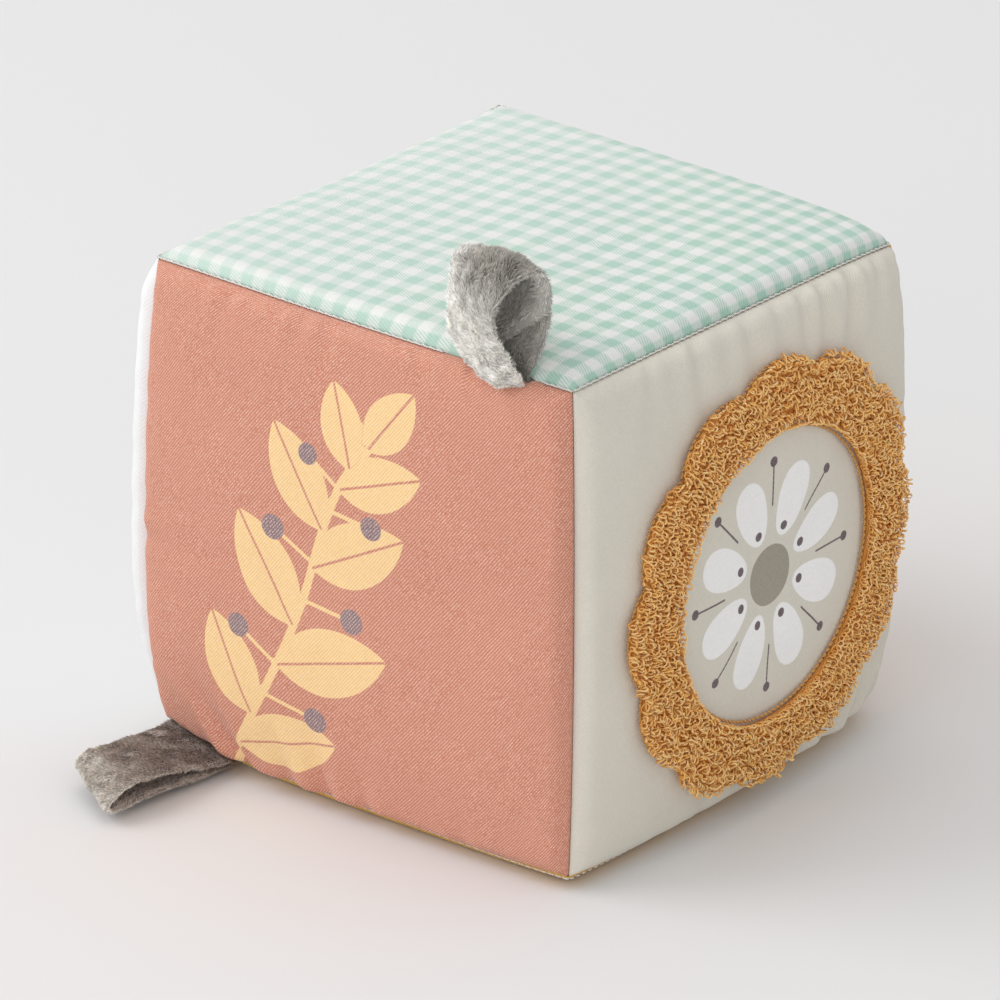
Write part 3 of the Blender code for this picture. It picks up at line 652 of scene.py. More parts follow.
def makeStuffing():
    cells = filling["cells"]
    spread = np.linspace(-1, 1, cells + 1)
    found, points, faces = {}, [], []
    inner = block["seamToSeam"] / 2 - filling["inset"]
    for face, (normal, sign, uAxis, vAxis) in faceAxes.items():
        index = np.zeros((cells + 1, cells + 1), dtype=int)
        for i, a in enumerate(spread):
            for j, b in enumerate(spread):
                cube = [0, 0, 0]
                cube[normal], cube[uAxis], cube[vAxis] = sign, a, b
                key = tuple(round(c * cells) for c in cube)
                if key not in found:
                    found[key] = len(points)
                    points.append(cube)
                index[i, j] = found[key]
        quads = np.stack([index[:-1, :-1], index[1:, :-1], index[1:, 1:], index[:-1, 1:]], 2).reshape(-1, 4)
        faces.extend((quads[:, ::-1] if windsInward(face) else quads).tolist())
    cube = np.array(points, dtype=float)
    # round the cube's edges off, as loose fibre does
    ball = unit(cube) * filling["ball"]
    edge = np.sort(np.abs(cube), axis=1)[:, 1:2] ** filling["edgePower"]
    cube = cube * (1 - filling["edgeIn"] * edge) + (ball - cube) * filling["rounding"] * edge
    made = placed(cube * inner, filling["offTable"])
    lump = waves(np.random.default_rng(filling["seed"]), 16, *filling["tuftSize"])
    lump = 1 + lump(made[:, 0] + made[:, 2], made[:, 1] - made[:, 2] * 0.7)
    centre = np.array([0, 0, made[:, 2].mean()])
    made = centre + (made - centre) * (1 - filling["tufts"] / filling["halfSize"] * lump)[:, None]
    made[:, 2] = np.maximum(made[:, 2], filling["lowest"])
    piece = meshPiece("stuffing", made, faces, fibreFilling())
    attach(piece, blockBody)
    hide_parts("fibre_fill")


makeStuffing()
for number, face in enumerate(faceAxes):
    makePanel(face, number)
print("block made: stuffing and", len(faceAxes), "panels")

# Sewing thread in the seams

stitching = {"radius": 0.00019, "pitch": 0.0023, "length": 0.0019, "sides": 6, "taper": 0.35, "bow": 0.0009,
             "inset": 0.0001, "underInset": 0.00018, "sunk": -0.00030, "sunkUpright": 0.0008, "clear": 0.004,
             "closingShare": 0.46, "closingGap": 0.0006, "endGap": 0.0016, "slant": 0.00022,
             "offTable": 0.0003, "offTableBelow": 0.0006}


def sewingThread(name, pale, dark):
    # spun polyester sewing thread: two twisted plies, a soft shine along each
    look, add, shader = newMaterial(name)
    place = add("TexCoord").outputs["Object"]
    twist = add("TexWave", {"Vector": place, "Scale": 900.0, "Distortion": 1.5},
                    bands_direction="DIAGONAL").outputs["Fac"]
    # the pale and dark bands of the twist are painted highlight on the plies and painted shade between them
    colour = add("Mix RGBA", (twist, dark, pale))
    bump = add("Bump", {"Height": twist, "Strength": 0.5, "Distance": 0.00008})
    setInputs(shader, {"Base Color": colour, "Normal": bump, "Roughness": 0.55, "Sheen Weight": 0.2})
    return look


def tubeRound(path, side, up, sizes, sides, start):
    # a closed tube, from its path, its two cross directions and its radius at each point
    spin = fullTurn(sides)
    rim = side[:, None] * np.cos(spin)[None, :, None] + up[:, None] * np.sin(spin)[None, :, None]
    faces = gridFaces(len(path), sides, closeColumns=True, flip=True, start=start).tolist()
    last = start + (len(path) - 1) * sides
    faces += [list(range(start, start + sides)), list(range(last, last + sides))[::-1]]
    return (path[:, None] + rim * sizes[:, None, None]).reshape(-1, 3), faces


def tubeMesh(paths, radius, sides):
    # tubes along each path of points, with rounded ends
    allPoints, allFaces, start = [], [], 0
    for path in paths:
        way = unit(np.gradient(path, axis=0))
        side = unit(np.cross(way, [0.31, 0.52, 0.79]))
        sizes = np.full(len(path), radius)
        sizes[[0, -1]] *= stitching["taper"]
        points, faces = tubeRound(path, side, np.cross(way, side), sizes, sides, start)
        allPoints.append(points)
        allFaces += faces
        start += len(points)
    return np.vstack(allPoints), allFaces


def stitchRun(corners, layer, underThread):
    # evenly spaced short stitches down a run of straight pieces in cube coordinates
    corners = np.array(corners, dtype=float)
    paths = []
    for a, b in zip(corners, corners[1:]):
        long = np.linalg.norm(b - a)
        way = (b - a) / long
        outward = (a + b) / 2
        outward = unit(outward - way * outward.dot(way))
        across = np.cross(way, outward)
        count = max(1, int(long / stitching["pitch"]))
        t = np.linspace(-0.5, 0.5, 6)[:, None]
        for k in range(count):
            path = a + way * (k + 0.5) * long / count
            path = path + way * t * stitching["length"] + across * t * 2 * stitching["slant"]
            path += outward * ((0.25 - t * t) * stitching["bow"] - stitching["inset"])
            paths.append(placed(path, layer))
        if underThread:
            # it shows as a thin line between the stitches
            t = np.linspace(0, 1, 2 * count + 1)[:, None]
            paths.append(placed(a + (b - a) * t - outward * stitching["underInset"], layer))
    return paths


def makeStitching():
    thread = sewingThread("whiteSewingThread", "#F4F2EC", "#C9C5BB")
    reach = seamReach - stitching["sunk"]
    clear = ribbon["width"] / 2 + stitching["clear"]
    runs = {}
    for name, level, middle in (("top_seam_thread", reach, ribbon["topMiddle"]),
                                ("bottom_seam_thread", -reach, ribbon["bottomMiddle"])):
        runs[name] = [(middle + clear, -reach, level), (reach, -reach, level), (reach, reach, level),
                      (-reach, reach, level), (-reach, -reach, level), (middle - clear, -reach, level)]
    end = reach - stitching["endGap"]
    upright = seamReach - stitching["sunkUpright"]
    split = -end + 2 * end * stitching["closingShare"]
    for name, sx, sy, low, high in (("front_left_seam_thread", -1, -1, -end, end),
                                    ("front_right_seam_thread", 1, -1, -end, end),
                                    ("back_right_seam_thread", 1, 1, -end, end),
                                    ("back_left_seam_thread", -1, 1, split, end),
                                    ("closing_stitch", -1, 1, -end, split - stitching["closingGap"])):
        runs[name] = [(sx * upright, sy * upright, low), (sx * upright, sy * upright, high)]
    for name, corners in runs.items():
        below = name == "bottom_seam_thread"
        paths = stitchRun(corners, stitching["offTableBelow" if below else "offTable"], not below)
        points, faces = tubeMesh(paths, stitching["radius"], stitching["sides"])
        title = name.replace("_thread", "").replace("_stitch", "") + "_stitches"
        piece = meshPiece(title, points, faces, thread)
        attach(piece, blockBody)
        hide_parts(name)
    return len(runs)


print("seams stitched:", makeStitching())

# The looped yarn ring

ring = {"middle": (0.0030, -0.0040), "inner": 0.0360, "outer": 0.0500, "lobe": 0.0040, "lobes": 12,
        "gap": 0.0006, "base": 0.0009, "baseInner": 0.0009, "baseOuter": -0.0014,
        "rows": 14, "curlPitch": 0.00120, "curlRadius": (0.00056, 0.00112), "centre": 0.0008,
        "tilt": 0.75, "yaw": 0.95, "wander": 0.00045, "lift": (-0.0003, 0.0007), "lowest": 0.0003,
        "yarn": 0.00023, "sides": 4, "steps": 7, "seed": 23, "offCloth": 0.0005,
        # turns that keep the curls of one row, and of rows side by side, from falling into step
        "swing": 1.4, "swingRate": 0.37, "rowPhase": 2.4, "rowTurn": 0.7,
        "edgingRadius": 0.00034, "edgingPitch": 0.0016, "edgingLength": 0.92, "edgingSlant": 0.0002,
        "edgingInner": -0.0004, "edgingOuter": -0.0003, "edgingOffCloth": 0.0002, "edgingBow": 0.00022}


def ringRadius(turn):
    return ring["outer"] + ring["lobe"] * np.abs(np.cos(ring["lobes"] * turn / 2)) ** 0.7


def onRight(radius, turn, height):
    radius, turn, height = np.broadcast_arrays(np.asarray(radius, dtype=float), turn, height)
    y = ring["middle"][0] + radius * np.cos(turn)
    z = ring["middle"][1] + radius * np.sin(turn)
    return placed(cubePoints("right", -height, y, z))


def boucleYarn():
    # looped mustard yarn in twisted plies: painted highlight on the loop tops and along the plies, painted
    # shade (brown) low in the gaps between loops
    look, add, shader = newMaterial("mustardBoucleYarn")
    depth, tone, ply = (add("Attribute", attribute_name=layer).outputs["Fac"]
                        for layer in ("loopHeight", "yarnTone", "plyTurn"))
    line = add("Math SINE", (ply,))
    line = add("Math MULTIPLY_ADD", (line, 0.5, 0.5))
    # low: painted shade deep in the gaps; high: painted highlight on the loop tops
    low = add("Mix RGBA", (tone, "#DC8F3C", "#EFA853"))
    high = add("Mix RGBA", (tone, "#FFC770", "#FFDDA2"))
    colour = add("Mix RGBA", (depth, low, high))
    # a painted highlight along each ply
    shine = add("Math MULTIPLY", (line, 0.25))
    colour = add("Mix RGBA", (shine, colour, "#F7CC82"))
    bump = add("Bump", {"Height": line, "Strength": 0.12, "Distance": 0.0001})
    setInputs(shader, {"Base Color": colour, "Normal": bump, "Roughness": 0.75,
                       "Specular IOR Level": 0.2, "Sheen Weight": 0.15,
                       "Sheen Roughness": 0.4, "Sheen Tint": "#F5A94A"})
    return look


def ringBacking():
    # woven strip under the loops, which cover it
    turns = fullTurn(240)
    inner, outer = ring["inner"] + ring["baseInner"], ringRadius(turns) + ring["baseOuter"]
    low, high = ring["gap"], ring["gap"] + ring["base"]
    profile = [(0.0, low), (0.0, high * 0.8), (0.08, high), (0.5, high * 1.05), (0.92, high),
               (1.0, high * 0.8), (1.0, low)]
    points = np.stack([onRight(inner + (outer - inner) * share, turns, height) for share, height in profile])
    faces = gridFaces(len(profile), len(turns), closeRows=True, closeColumns=True).tolist()
    return points.reshape(-1, 3), faces


def curledRow(row, rng):
    # one round of yarn that curls as it goes: its path, how high it stands and its angle round the ring
    share = (row + 0.55) / (ring["rows"] - 0.1)
    meanRadius = ring["inner"] + (ring["outer"] + ring["lobe"] * 0.6 - ring["inner"]) * share
    curls = int(2 * math.pi * meanRadius / ring["curlPitch"])
    t = np.arange(curls * ring["steps"]) / ring["steps"]

    def drawn(values):
        # one random value for each curl, run smoothly from one to the next
        return np.interp(t, np.arange(curls + 1), np.append(values, values[0]))

    size = drawn(rng.uniform(*ring["curlRadius"], curls))
    tilt, yaw, wander = (drawn(rng.normal(0, ring[key], curls)) for key in ("tilt", "yaw", "wander"))
    lift = drawn(rng.uniform(*ring["lift"], curls))
    if row == 0:
        wander, tilt, yaw = np.abs(wander) * 0.3 - 0.0002, tilt * 0.4, yaw * 0.3
    if row == ring["rows"] - 1:
        wander = np.abs(wander) * 1.5
    turn = 2 * math.pi * t + ring["swing"] * np.sin(t * ring["swingRate"] + row) + row * ring["rowPhase"]
    # the curl's circle, first in its own plane and then tilted and turned
    ahead, high = np.cos(turn) * size, np.sin(turn) * size
    aside = high * np.sin(tilt) + ahead * np.sin(yaw)
    around = t / curls * 2 * math.pi + row * ring["rowTurn"] + ahead * np.cos(yaw) / meanRadius
    height = np.maximum(ring["centre"] + lift + high * np.cos(tilt) + size * 0.45, ring["lowest"])
    radius = ring["inner"] + (ringRadius(around) - ring["inner"]) * share + wander + aside
    path = onRight(radius, around, ring["gap"] + ring["offCloth"] + height)
    return path, height, around


def makeRing():
    rng = np.random.default_rng(ring["seed"])
    points, faces = ringBacking()
    allPoints, allFaces, start = [points], list(faces), len(points)
    # the backing takes the lowest loop height, so it gets the painted shade of the deepest gaps
    layers = {name: [np.full(start, value)]
              for name, value in (("loopHeight", 0.0), ("yarnTone", 0.3), ("plyTurn", 0.0))}
    sides = ring["sides"]
    for row in range(ring["rows"]):
        path, height, around = curledRow(row, rng)
        way = unit(np.gradient(path, axis=0))
        # the axis that the yarn curls about, evened out over one curl, keeps the tube from twisting
        bend = np.cross(way[:-1], way[1:])
        bend = np.stack([np.convolve(np.append(bend[:, k], bend[-1, k]), np.ones(ring["steps"]), "same")
                         for k in range(3)], axis=1)
        side = unit(bend - way * (bend * way).sum(axis=1, keepdims=True))
        thick = ring["yarn"] * (1 + 0.15 * np.sin(np.arange(len(path)) * 1.1 + row))
        points, faces = tubeRound(path, side, np.cross(way, side), thick, sides, start)
        allPoints.append(points)
        allFaces += faces
        start += len(points)
        tone = 0.5 + 0.35 * np.sin(around * 37 + row * 2.1) + rng.normal(0, 0.2, len(around))
        ply = np.arange(len(path))[:, None] * 1.7 + fullTurn(sides)[None, :] * 2
        layers["loopHeight"].append(np.repeat(np.clip((height - ring["lowest"]) / 0.0019, 0, 1), sides))
        layers["yarnTone"].append(np.repeat(np.clip(tone, 0, 1), sides))
        layers["plyTurn"].append(ply.ravel())
    piece = meshPiece("looped_yarn_ring", np.vstack(allPoints), allFaces, boucleYarn())
    for name, values in layers.items():
        pointValues(piece, name, np.concatenate(values))
    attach(piece, blockBody)
    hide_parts("boucle_ring")
    return piece


def makeEdgings():
    thread = sewingThread("mustardSewingThread", "#E3AE62", "#B5782A")
    turns = np.linspace(0, 2 * math.pi, 361)
    inner = np.full(len(turns), ring["inner"] + ring["edgingInner"])
    outer = ringRadius(turns) + ring["edgingOuter"]
    for name, node, radius in (("ring_inner_edging", "ring_inner_stitching", inner),
                               ("ring_outer_edging", "ring_outer_stitching", outer)):
        count = int(2 * math.pi * radius.mean() / ring["edgingPitch"])
        bow = ring["edgingBow"] * np.sin(np.linspace(0, math.pi, 5))
        slant = ring["edgingSlant"] * np.linspace(-1, 1, 5)
        paths = []
        for k in range(count):
            a = np.linspace(k, k + ring["edgingLength"], 5) / count * 2 * math.pi
            height = ring["gap"] + ring["edgingOffCloth"] + bow
            paths.append(onRight(np.interp(a, turns, radius) + slant, a, height))
        points, faces = tubeMesh(paths, ring["edgingRadius"], 6)
        piece = meshPiece(name, points, faces, thread)
        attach(piece, blockBody)
        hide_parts(node)


ringPiece = makeRing()
makeEdgings()
print("ring made:", len(ringPiece.data.polygons), "faces")

# The two plush ribbon loops

topLoop = {
    # edge profiles from the front foot over the crest to the back foot, at shares of the ribbon's width
    # from left to right: out from the seam (to the front is positive) and up, in mm
    "profiles": {
        0.0: [(-1.3, -3.6), (0.2, -1.2), (0.7, 1.6), (1.2, 5.0), (1.5, 9.0), (1.4, 13.7), (1.0, 18.7),
              (-0.2, 22.8), (-2.4, 24.0), (-4.6, 22.9), (-6.0, 17.9), (-6.2, 11.5), (-5.0, 5.8), (-3.5, 1.2),
              (-2.4, -3.8)],
        0.25: [(-1.3, -3.6), (1.0, -0.8), (2.6, 0.9), (3.6, 4.6), (4.4, 9.4), (4.8, 14.3), (4.0, 19.2),
               (1.2, 23.2), (-1.8, 24.8), (-4.8, 23.7), (-7.0, 18.3), (-7.2, 11.8), (-5.6, 5.8), (-3.7, 1.2),
               (-2.4, -3.8)],
        0.5: [(-1.3, -3.6), (1.6, -1.7), (3.3, -1.1), (4.8, 3.6), (6.4, 9.0), (7.6, 14.4), (7.0, 19.6),
              (3.4, 23.6), (-1.2, 25.6), (-5.2, 24.3), (-8.0, 18.6), (-8.0, 11.8), (-6.0, 5.8), (-4.0, 1.2),
              (-2.4, -3.8)],
        0.75: [(-1.3, -3.6), (1.4, -3.0), (3.4, -2.2), (5.4, 2.6), (7.8, 8.6), (9.8, 14.0), (9.4, 18.9),
               (5.2, 23.2), (-0.8, 25.6), (-5.4, 24.2), (-8.8, 18.8), (-8.7, 11.8), (-6.4, 5.6), (-4.3, 1.2),
               (-2.4, -3.8)],
        1.0: [(-1.3, -3.6), (0.0, -2.6), (2.0, 0.4), (4.6, 4.0), (7.6, 8.4), (11.0, 13.6), (11.4, 17.6),
              (6.8, 21.0), (-0.4, 23.0), (-5.4, 22.7), (-9.0, 18.6), (-9.5, 12.2), (-7.8, 6.0), (-5.0, 1.4),
              (-2.6, -3.8)],
    },
    # the ribbon is gathered at its left foot: how far in, and up to what height, in metres
    "gather": (0.0060, 0.0105),
    # a crease across the back layer, from the right edge down to the left, in metres
    "crease": {"at": (0.0101, 0.0126), "slope": 0.89, "depth": 0.0056, "sharp": 0.0009, "fade": 0.0070,
               "from": 0.60, "ease": 0.08, "edge": 0.07},
    "cellsAlong": 180, "cellsAcross": 44, "halfThick": 0.00060, "lump": 0.00010, "lowest": -1.0,
    "pileShare": 1.0,
    # painted light and shade on the pile, from 0 (painted shade) to 1 (painted light), at shares of the way
    # round, out and in
    "paintedLightOut": [(0.0, 1.0), (0.20, 1.0), (0.34, 0.92), (0.42, 0.44), (0.50, 0.06), (0.75, 0.20), (1.0, 0.20)],
    "paintedLightIn": [(0.0, 0.20), (0.4, 0.30), (0.6, 0.60), (0.8, 0.50), (1.0, 0.10)],
    # painted light added along the ribbon's left and right edges
    "paintedLightLeft": 0.60, "paintedLightRight": 0.10,
}
pile = {"tuftsPerSide": 20000, "tuftsPerEdge": 900, "length": (0.0011, 0.0018), "root": 0.00016,
        "lean": (56, 78), "leanClump": 9, "swirl": 1.10, "stray": 0.35, "sunk": 0.0001, "toneSpread": 0.24,
        "map": (0.06, 0.02), "footClear": 0.006, "atFoot": 0.15, "edgeShare": 0.7, "edgePaintedLight": 0.1}


def greyPlush(name, values):
    # short-pile polyester plush: tufts lie in swirls; painted shade down between them leaves their tips
    # paler than their roots, and painted light and shade, kept at the points, make the lit parts paler and
    # the shaded parts darker all over
    look, add, shader = newMaterial(name)
    place = add("TexCoord").outputs["Object"]
    fine = add("TexNoise", {"Vector": place, "Scale": 2600.0, "Detail": 2.0})
    tip, tone, paintedLight = (add("Attribute", attribute_name=layer).outputs["Fac"]
                      for layer in ("pileTip", "pileTone", "pilePaintedLight"))
    # mixed from root to tip: the darker root is painted shade down between the tufts
    dark = add("Mix RGBA", (tip, values["shadedRoot"], values["shadedTip"]))
    pale = add("Mix RGBA", (tip, values["litRoot"], values["litTip"]))
    colour = add("Mix RGBA", (paintedLight, dark, pale))
    shade = add("Math MULTIPLY_ADD", (tone, 0.90, 0.60))
    colour = add("VectorMath SCALE", (colour, shade))
    bump = add("Bump", {"Height": fine, "Strength": 0.3, "Distance": 0.0001})
    setInputs(shader, {"Base Color": colour, "Normal": bump, "Roughness": 0.9,
                       "Specular IOR Level": 0.15, "Sheen Weight": values["sheen"],
                       "Sheen Roughness": 0.35})
    return look


def tuftsOn(surface, normal, along, paintedLight, count, rng, lengthShare):
    # slim leaning tufts; surface, normal, along and paintedLight are grids over the cloth
    rows, columns = surface.shape[:2]
    i, j = rng.uniform(0, rows - 1.001, count), rng.uniform(0, columns - 1.001, count)
    i0, j0 = i.astype(int), j.astype(int)
    fi, fj = (i - i0)[:, None], (j - j0)[:, None]
    mapped = i / rows * pile["map"][0], j / columns * pile["map"][1]

    def at(grid):
        return (grid[i0, j0] * (1 - fi) * (1 - fj) + grid[i0 + 1, j0] * fi * (1 - fj)
                + grid[i0, j0 + 1] * (1 - fi) * fj + grid[i0 + 1, j0 + 1] * fi * fj)

    root, up, ahead = at(surface), unit(at(normal)), unit(at(along))
    aside = unit(np.cross(up, ahead))
    swirl = waves(rng, 12, 0.004, 0.012)(*mapped) * pile["swirl"] + rng.normal(0, pile["stray"], count)
    flow = ahead * np.cos(swirl)[:, None] + aside * np.sin(swirl)[:, None]
    clump = waves(rng, 30, 0.0016, 0.005)(*mapped)
    lean = np.radians(rng.uniform(*pile["lean"], count) + pile["leanClump"] * clump)[:, None]
    size = (rng.uniform(*pile["length"], count) * lengthShare(i / (rows - 1)))[:, None]
    way = up * np.cos(lean) + flow * np.sin(lean)
    sideways = unit(np.cross(flow, up))
    over = unit(np.cross(sideways, way))
    foot = root - up * pile["sunk"]
    points = [foot + (sideways * math.cos(a) + over * math.sin(a)) * pile["root"] for a in fullTurn(3)]
    points = np.stack(points + [root + way * size], axis=1)
    faces = []
    for face in ((0, 1, 3), (1, 2, 3), (2, 0, 3), (2, 1, 0)):
        faces += (np.arange(count)[:, None] * 4 + np.array(face)[None]).tolist()
    tone = np.clip(0.5 + 0.14 * clump + rng.normal(0, pile["toneSpread"], count), 0, 1)
    share = np.clip(at(paintedLight[..., None])[:, 0] + rng.normal(0, 0.06, count), 0, 1)
    # 0 at each tuft's foot and 1 at its tip, for the painted shade at the roots
    tip = np.tile([0.0, 0.0, 0.0, 1.0], count)
    return points.reshape(-1, 3), faces, tip, np.repeat(tone, 4), np.repeat(share, 4)


def stripCentre(hinge, side, out, up, values):
    # the middle surface of the folded strip, as a grid from the front foot to the back foot
    along, across = values["cellsAlong"], values["cellsAcross"]
    lines, lengths = [], []
    for profile in values["profiles"].values():
        line = smoothLine(np.array(profile) / 1000, 12)
        far = np.concatenate([[0], np.cumsum(np.linalg.norm(np.diff(line, axis=0), axis=1))])
        lengths.append(far[-1])
        # even steps from point to point, so that the profiles keep their named points in line
        spot = np.interp(np.linspace(0, 1, along + 1), np.linspace(0, 1, len(line)), np.arange(len(line)))
        lines.append(np.stack([np.interp(spot, np.arange(len(line)), line[:, k]) for k in range(2)], 1))
    given = list(values["profiles"])
    shares = np.linspace(0, 1, across + 1)
    grid = np.zeros((along + 1, across + 1, 2))
    for column, share in enumerate(shares):
        k = min(int(np.searchsorted(given, share, side="right")) - 1, len(given) - 2)
        part = smoothStep((share - given[k]) / (given[k + 1] - given[k]))
        grid[:, column] = lines[k] * (1 - part) + lines[k + 1] * part
    belly, rise = grid[..., 0], grid[..., 1]
    aside = np.repeat((shares - 0.5)[None] * ribbon["core"], along + 1, axis=0)
    if "gather" in values:
        far, high = values["gather"]
        aside = aside + far * (1 - shares)[None] ** 1.5 * smoothStep(1 - (rise + 0.0036) / high)
    if "crease" in values:
        crease = values["crease"]
        above = rise - crease["at"][1] - crease["slope"] * (aside - crease["at"][0])
        back = smoothStep((np.linspace(0, 1, along + 1) - crease["from"]) / crease["ease"])[:, None]
        fold = smoothStep(above / crease["sharp"] + 0.5) * np.exp(-np.maximum(above, 0) / crease["fade"])
        inside = smoothStep((1 - shares) / crease["edge"])[None]
        belly = belly + crease["depth"] * fold * back * inside
    centre = (np.array(hinge) + belly[..., None] * np.array(up) + rise[..., None] * np.array(out)
              + aside[..., None] * np.array(side))
    return centre, np.mean(lengths)


def ribbonLoop(name, hinge, side, out, up, values, look, seed):
    # a strip of plush folded in two: a closed band with pile on both sides and along its edges
    rng = np.random.default_rng(seed)
    along, across = values["cellsAlong"], values["cellsAcross"]
    centre, long = stripCentre(hinge, side, out, up, values)
    du, dv = np.gradient(centre, axis=0), np.gradient(centre, axis=1)
    normal = unit(np.cross(du, dv))
    turned = normal[along // 4, across // 2].dot(np.array(up)) < 0
    if turned:
        normal = -normal
    shares, around = np.linspace(0, 1, across + 1)[None], np.linspace(0, 1, along + 1)[:, None]
    edge = np.minimum(shares, 1 - shares) * ribbon["core"]
    soft = 0.2 + 0.8 * np.sqrt(np.clip(edge / 0.0007, 0, 1))
    lump = waves(rng, 30, 0.003, 0.008)(around * long + 0 * shares, shares * ribbon["core"] + 0 * around)
    thick = values["halfThick"] * soft + values["lump"] * lump * soft
    outerSide, innerSide = centre + normal * thick[..., None], centre - normal * thick[..., None]
    outerSide[..., 2] = np.maximum(outerSide[..., 2], values["lowest"])
    innerSide[..., 2] = np.maximum(innerSide[..., 2], values["lowest"])
    # one closed tube: across the outer side and back across the inner side
    band = np.concatenate([outerSide, innerSide[:, ::-1]], axis=1)
    rows, columns = band.shape[:2]
    faces = gridFaces(rows, columns, closeColumns=True, flip=turned).tolist()
    ends = [list(range(columns)), [(rows - 1) * columns + k for k in range(columns)]]
    faces += [ends[0] if turned else ends[0][::-1], ends[1][::-1] if turned else ends[1]]
    # painted light along the ribbon's left and right edges
    paintedLightAtRims = (values["paintedLightLeft"] * smoothStep(1 - shares / 0.45)
            + values["paintedLightRight"] * smoothStep(1 - (1 - shares) / 0.12))
    paintedLight = {key: np.interp(around, *zip(*values[key])) + paintedLightAtRims for key in ("paintedLightOut", "paintedLightIn")}
    bandPaintedLight = np.concatenate([paintedLight["paintedLightOut"], paintedLight["paintedLightIn"][:, ::-1]], axis=1)
    flat = np.ones(band.shape[0] * columns)
    # the band under the tufts takes the root colour, painted shade
    parts = [(band.reshape(-1, 3), faces, flat * 0.0, flat * 0.35, np.clip(bandPaintedLight, 0, 1).ravel())]

    def clearOfFeet(share):
        away = np.minimum(share, 1 - share) * long
        grown = smoothStep(away / pile["footClear"] - 0.3)
        return values["pileShare"] * (pile["atFoot"] + (1 - pile["atFoot"]) * grown)

    for surface, way, key in ((outerSide, normal, "paintedLightOut"), (innerSide, -normal, "paintedLightIn")):
        parts.append(tuftsOn(surface, way, du, paintedLight[key], pile["tuftsPerSide"], rng, clearOfFeet))
    for column, way in ((0, -1), (-1, 1)):
        rim = np.stack([outerSide[:, column], innerSide[:, column]], axis=1)
        outward = np.broadcast_to(np.array(side) * way, rim.shape)
        # the edge tufts get a little more painted light
        rimPaintedLight = np.stack([paintedLight["paintedLightOut"][:, column]] * 2, 1) + pile["edgePaintedLight"]
        ahead = np.stack([du[:, column]] * 2, 1)
        parts.append(tuftsOn(rim, outward, ahead, rimPaintedLight, pile["tuftsPerEdge"], rng,
                             lambda share: clearOfFeet(share) * pile["edgeShare"]))
    made = []
    for part, group in ((name, parts[:1]), (name.replace("loop", "pile"), parts[1:])):
        start, allFaces = 0, []
        for points, faces, *_ in group:
            allFaces += [[start + k for k in face] for face in faces]
            start += len(points)
        points = np.vstack([p[0] for p in group])
        points[:, 2] = np.maximum(points[:, 2], values["lowest"])
        piece = meshPiece(part, points, allFaces, look, smooth=part == name)
        for k, layer in ((2, "pileTip"), (3, "pileTone"), (4, "pilePaintedLight")):
            pointValues(piece, layer, np.concatenate([p[k] for p in group]))
        made.append(piece)
    return made, long


def sewInLoop(pieces, nodes):
    # bakes the pieces' placement into their meshes and hides the part's loop nodes
    for piece in pieces:
        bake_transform(piece)
    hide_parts(*nodes)


def hingeLine(middle, foot):
    # the middle of a ribbon's seam and its direction
    ends = placed([(middle + side * ribbon["width"] / 2, *foot) for side in (-1, 1)])
    return ends.mean(axis=0), unit(ends[1] - ends[0])


def squareTo(way, side):
    return unit(np.array(way, dtype=float) - np.array(side) * np.dot(way, side))


def makeTopLoop():
    reach = half - 0.0004
    hinge, side = hingeLine(ribbon["topMiddle"], (-reach, reach))
    out = squareTo((0, 0, 1), side)
    up = -np.cross(out, side)
    look = greyPlush("paleGreyPlush", {"shadedRoot": "#4B463F", "shadedTip": "#C4BDB1", "litRoot": "#E9E5DC",
                                       "litTip": "#FFFEFA", "sheen": 0.7})
    pieces, long = ribbonLoop("top_ribbon_loop", hinge, side, out, up, topLoop, look, 41)
    sewInLoop(pieces, ("top_loop", "top_loop_sewn_end"))


bottomLoop = {
    # the same for the lower loop, which lies on the table: its upper layer is the first listed
    "profiles": {
        0.0: [(-1.5, -9.0), (0.3, -6.0), (1.0, -3.0), (0.9, 2.0), (1.1, 7.0), (1.4, 12.0), (1.7, 17.0),
              (2.1, 22.0), (2.3, 26.0), (0.9, 28.4), (-1.2, 27.6), (-1.9, 23.0), (-2.1, 16.0), (-2.2, 8.0),
              (-2.4, 0.0), (-2.8, -9.0)],
        0.5: [(-1.3, -6.5), (-0.2, -4.0), (0.6, -1.0), (1.2, 4.0), (1.9, 9.0), (2.6, 14.0), (3.1, 19.0),
              (3.3, 25.0), (2.9, 30.0), (1.0, 33.0), (-1.1, 32.0), (-1.6, 27.0), (-1.7, 18.0), (-1.8, 9.0),
              (-2.0, 1.0), (-2.5, -6.5)],
        1.0: [(-1.2, -4.2), (-0.4, -2.0), (0.0, 1.0), (1.0, 6.0), (2.3, 12.0), (3.6, 18.0), (4.5, 24.0),
              (4.6, 29.5), (3.5, 34.0), (1.3, 37.3), (-0.6, 36.2), (-0.9, 31.0), (-0.8, 22.0), (-1.2, 12.0),
              (-1.6, 4.0), (-2.2, -4.2)],
    },
    "cellsAlong": 200, "cellsAcross": 44, "halfThick": 0.00040, "lump": 0.00010, "lowest": 0.0002,
    "pileShare": 0.66,
    # painted light and shade on the pile, as for the top loop
    "paintedLightOut": [(0.0, 0.05), (0.30, 0.15), (0.44, 0.30), (0.52, 0.75), (0.62, 0.70), (0.70, 0.2), (1.0, 0.1)],
    "paintedLightIn": [(0.0, 0.10), (0.5, 0.25), (1.0, 0.10)],
    "paintedLightLeft": 0.08, "paintedLightRight": 0.22,
}


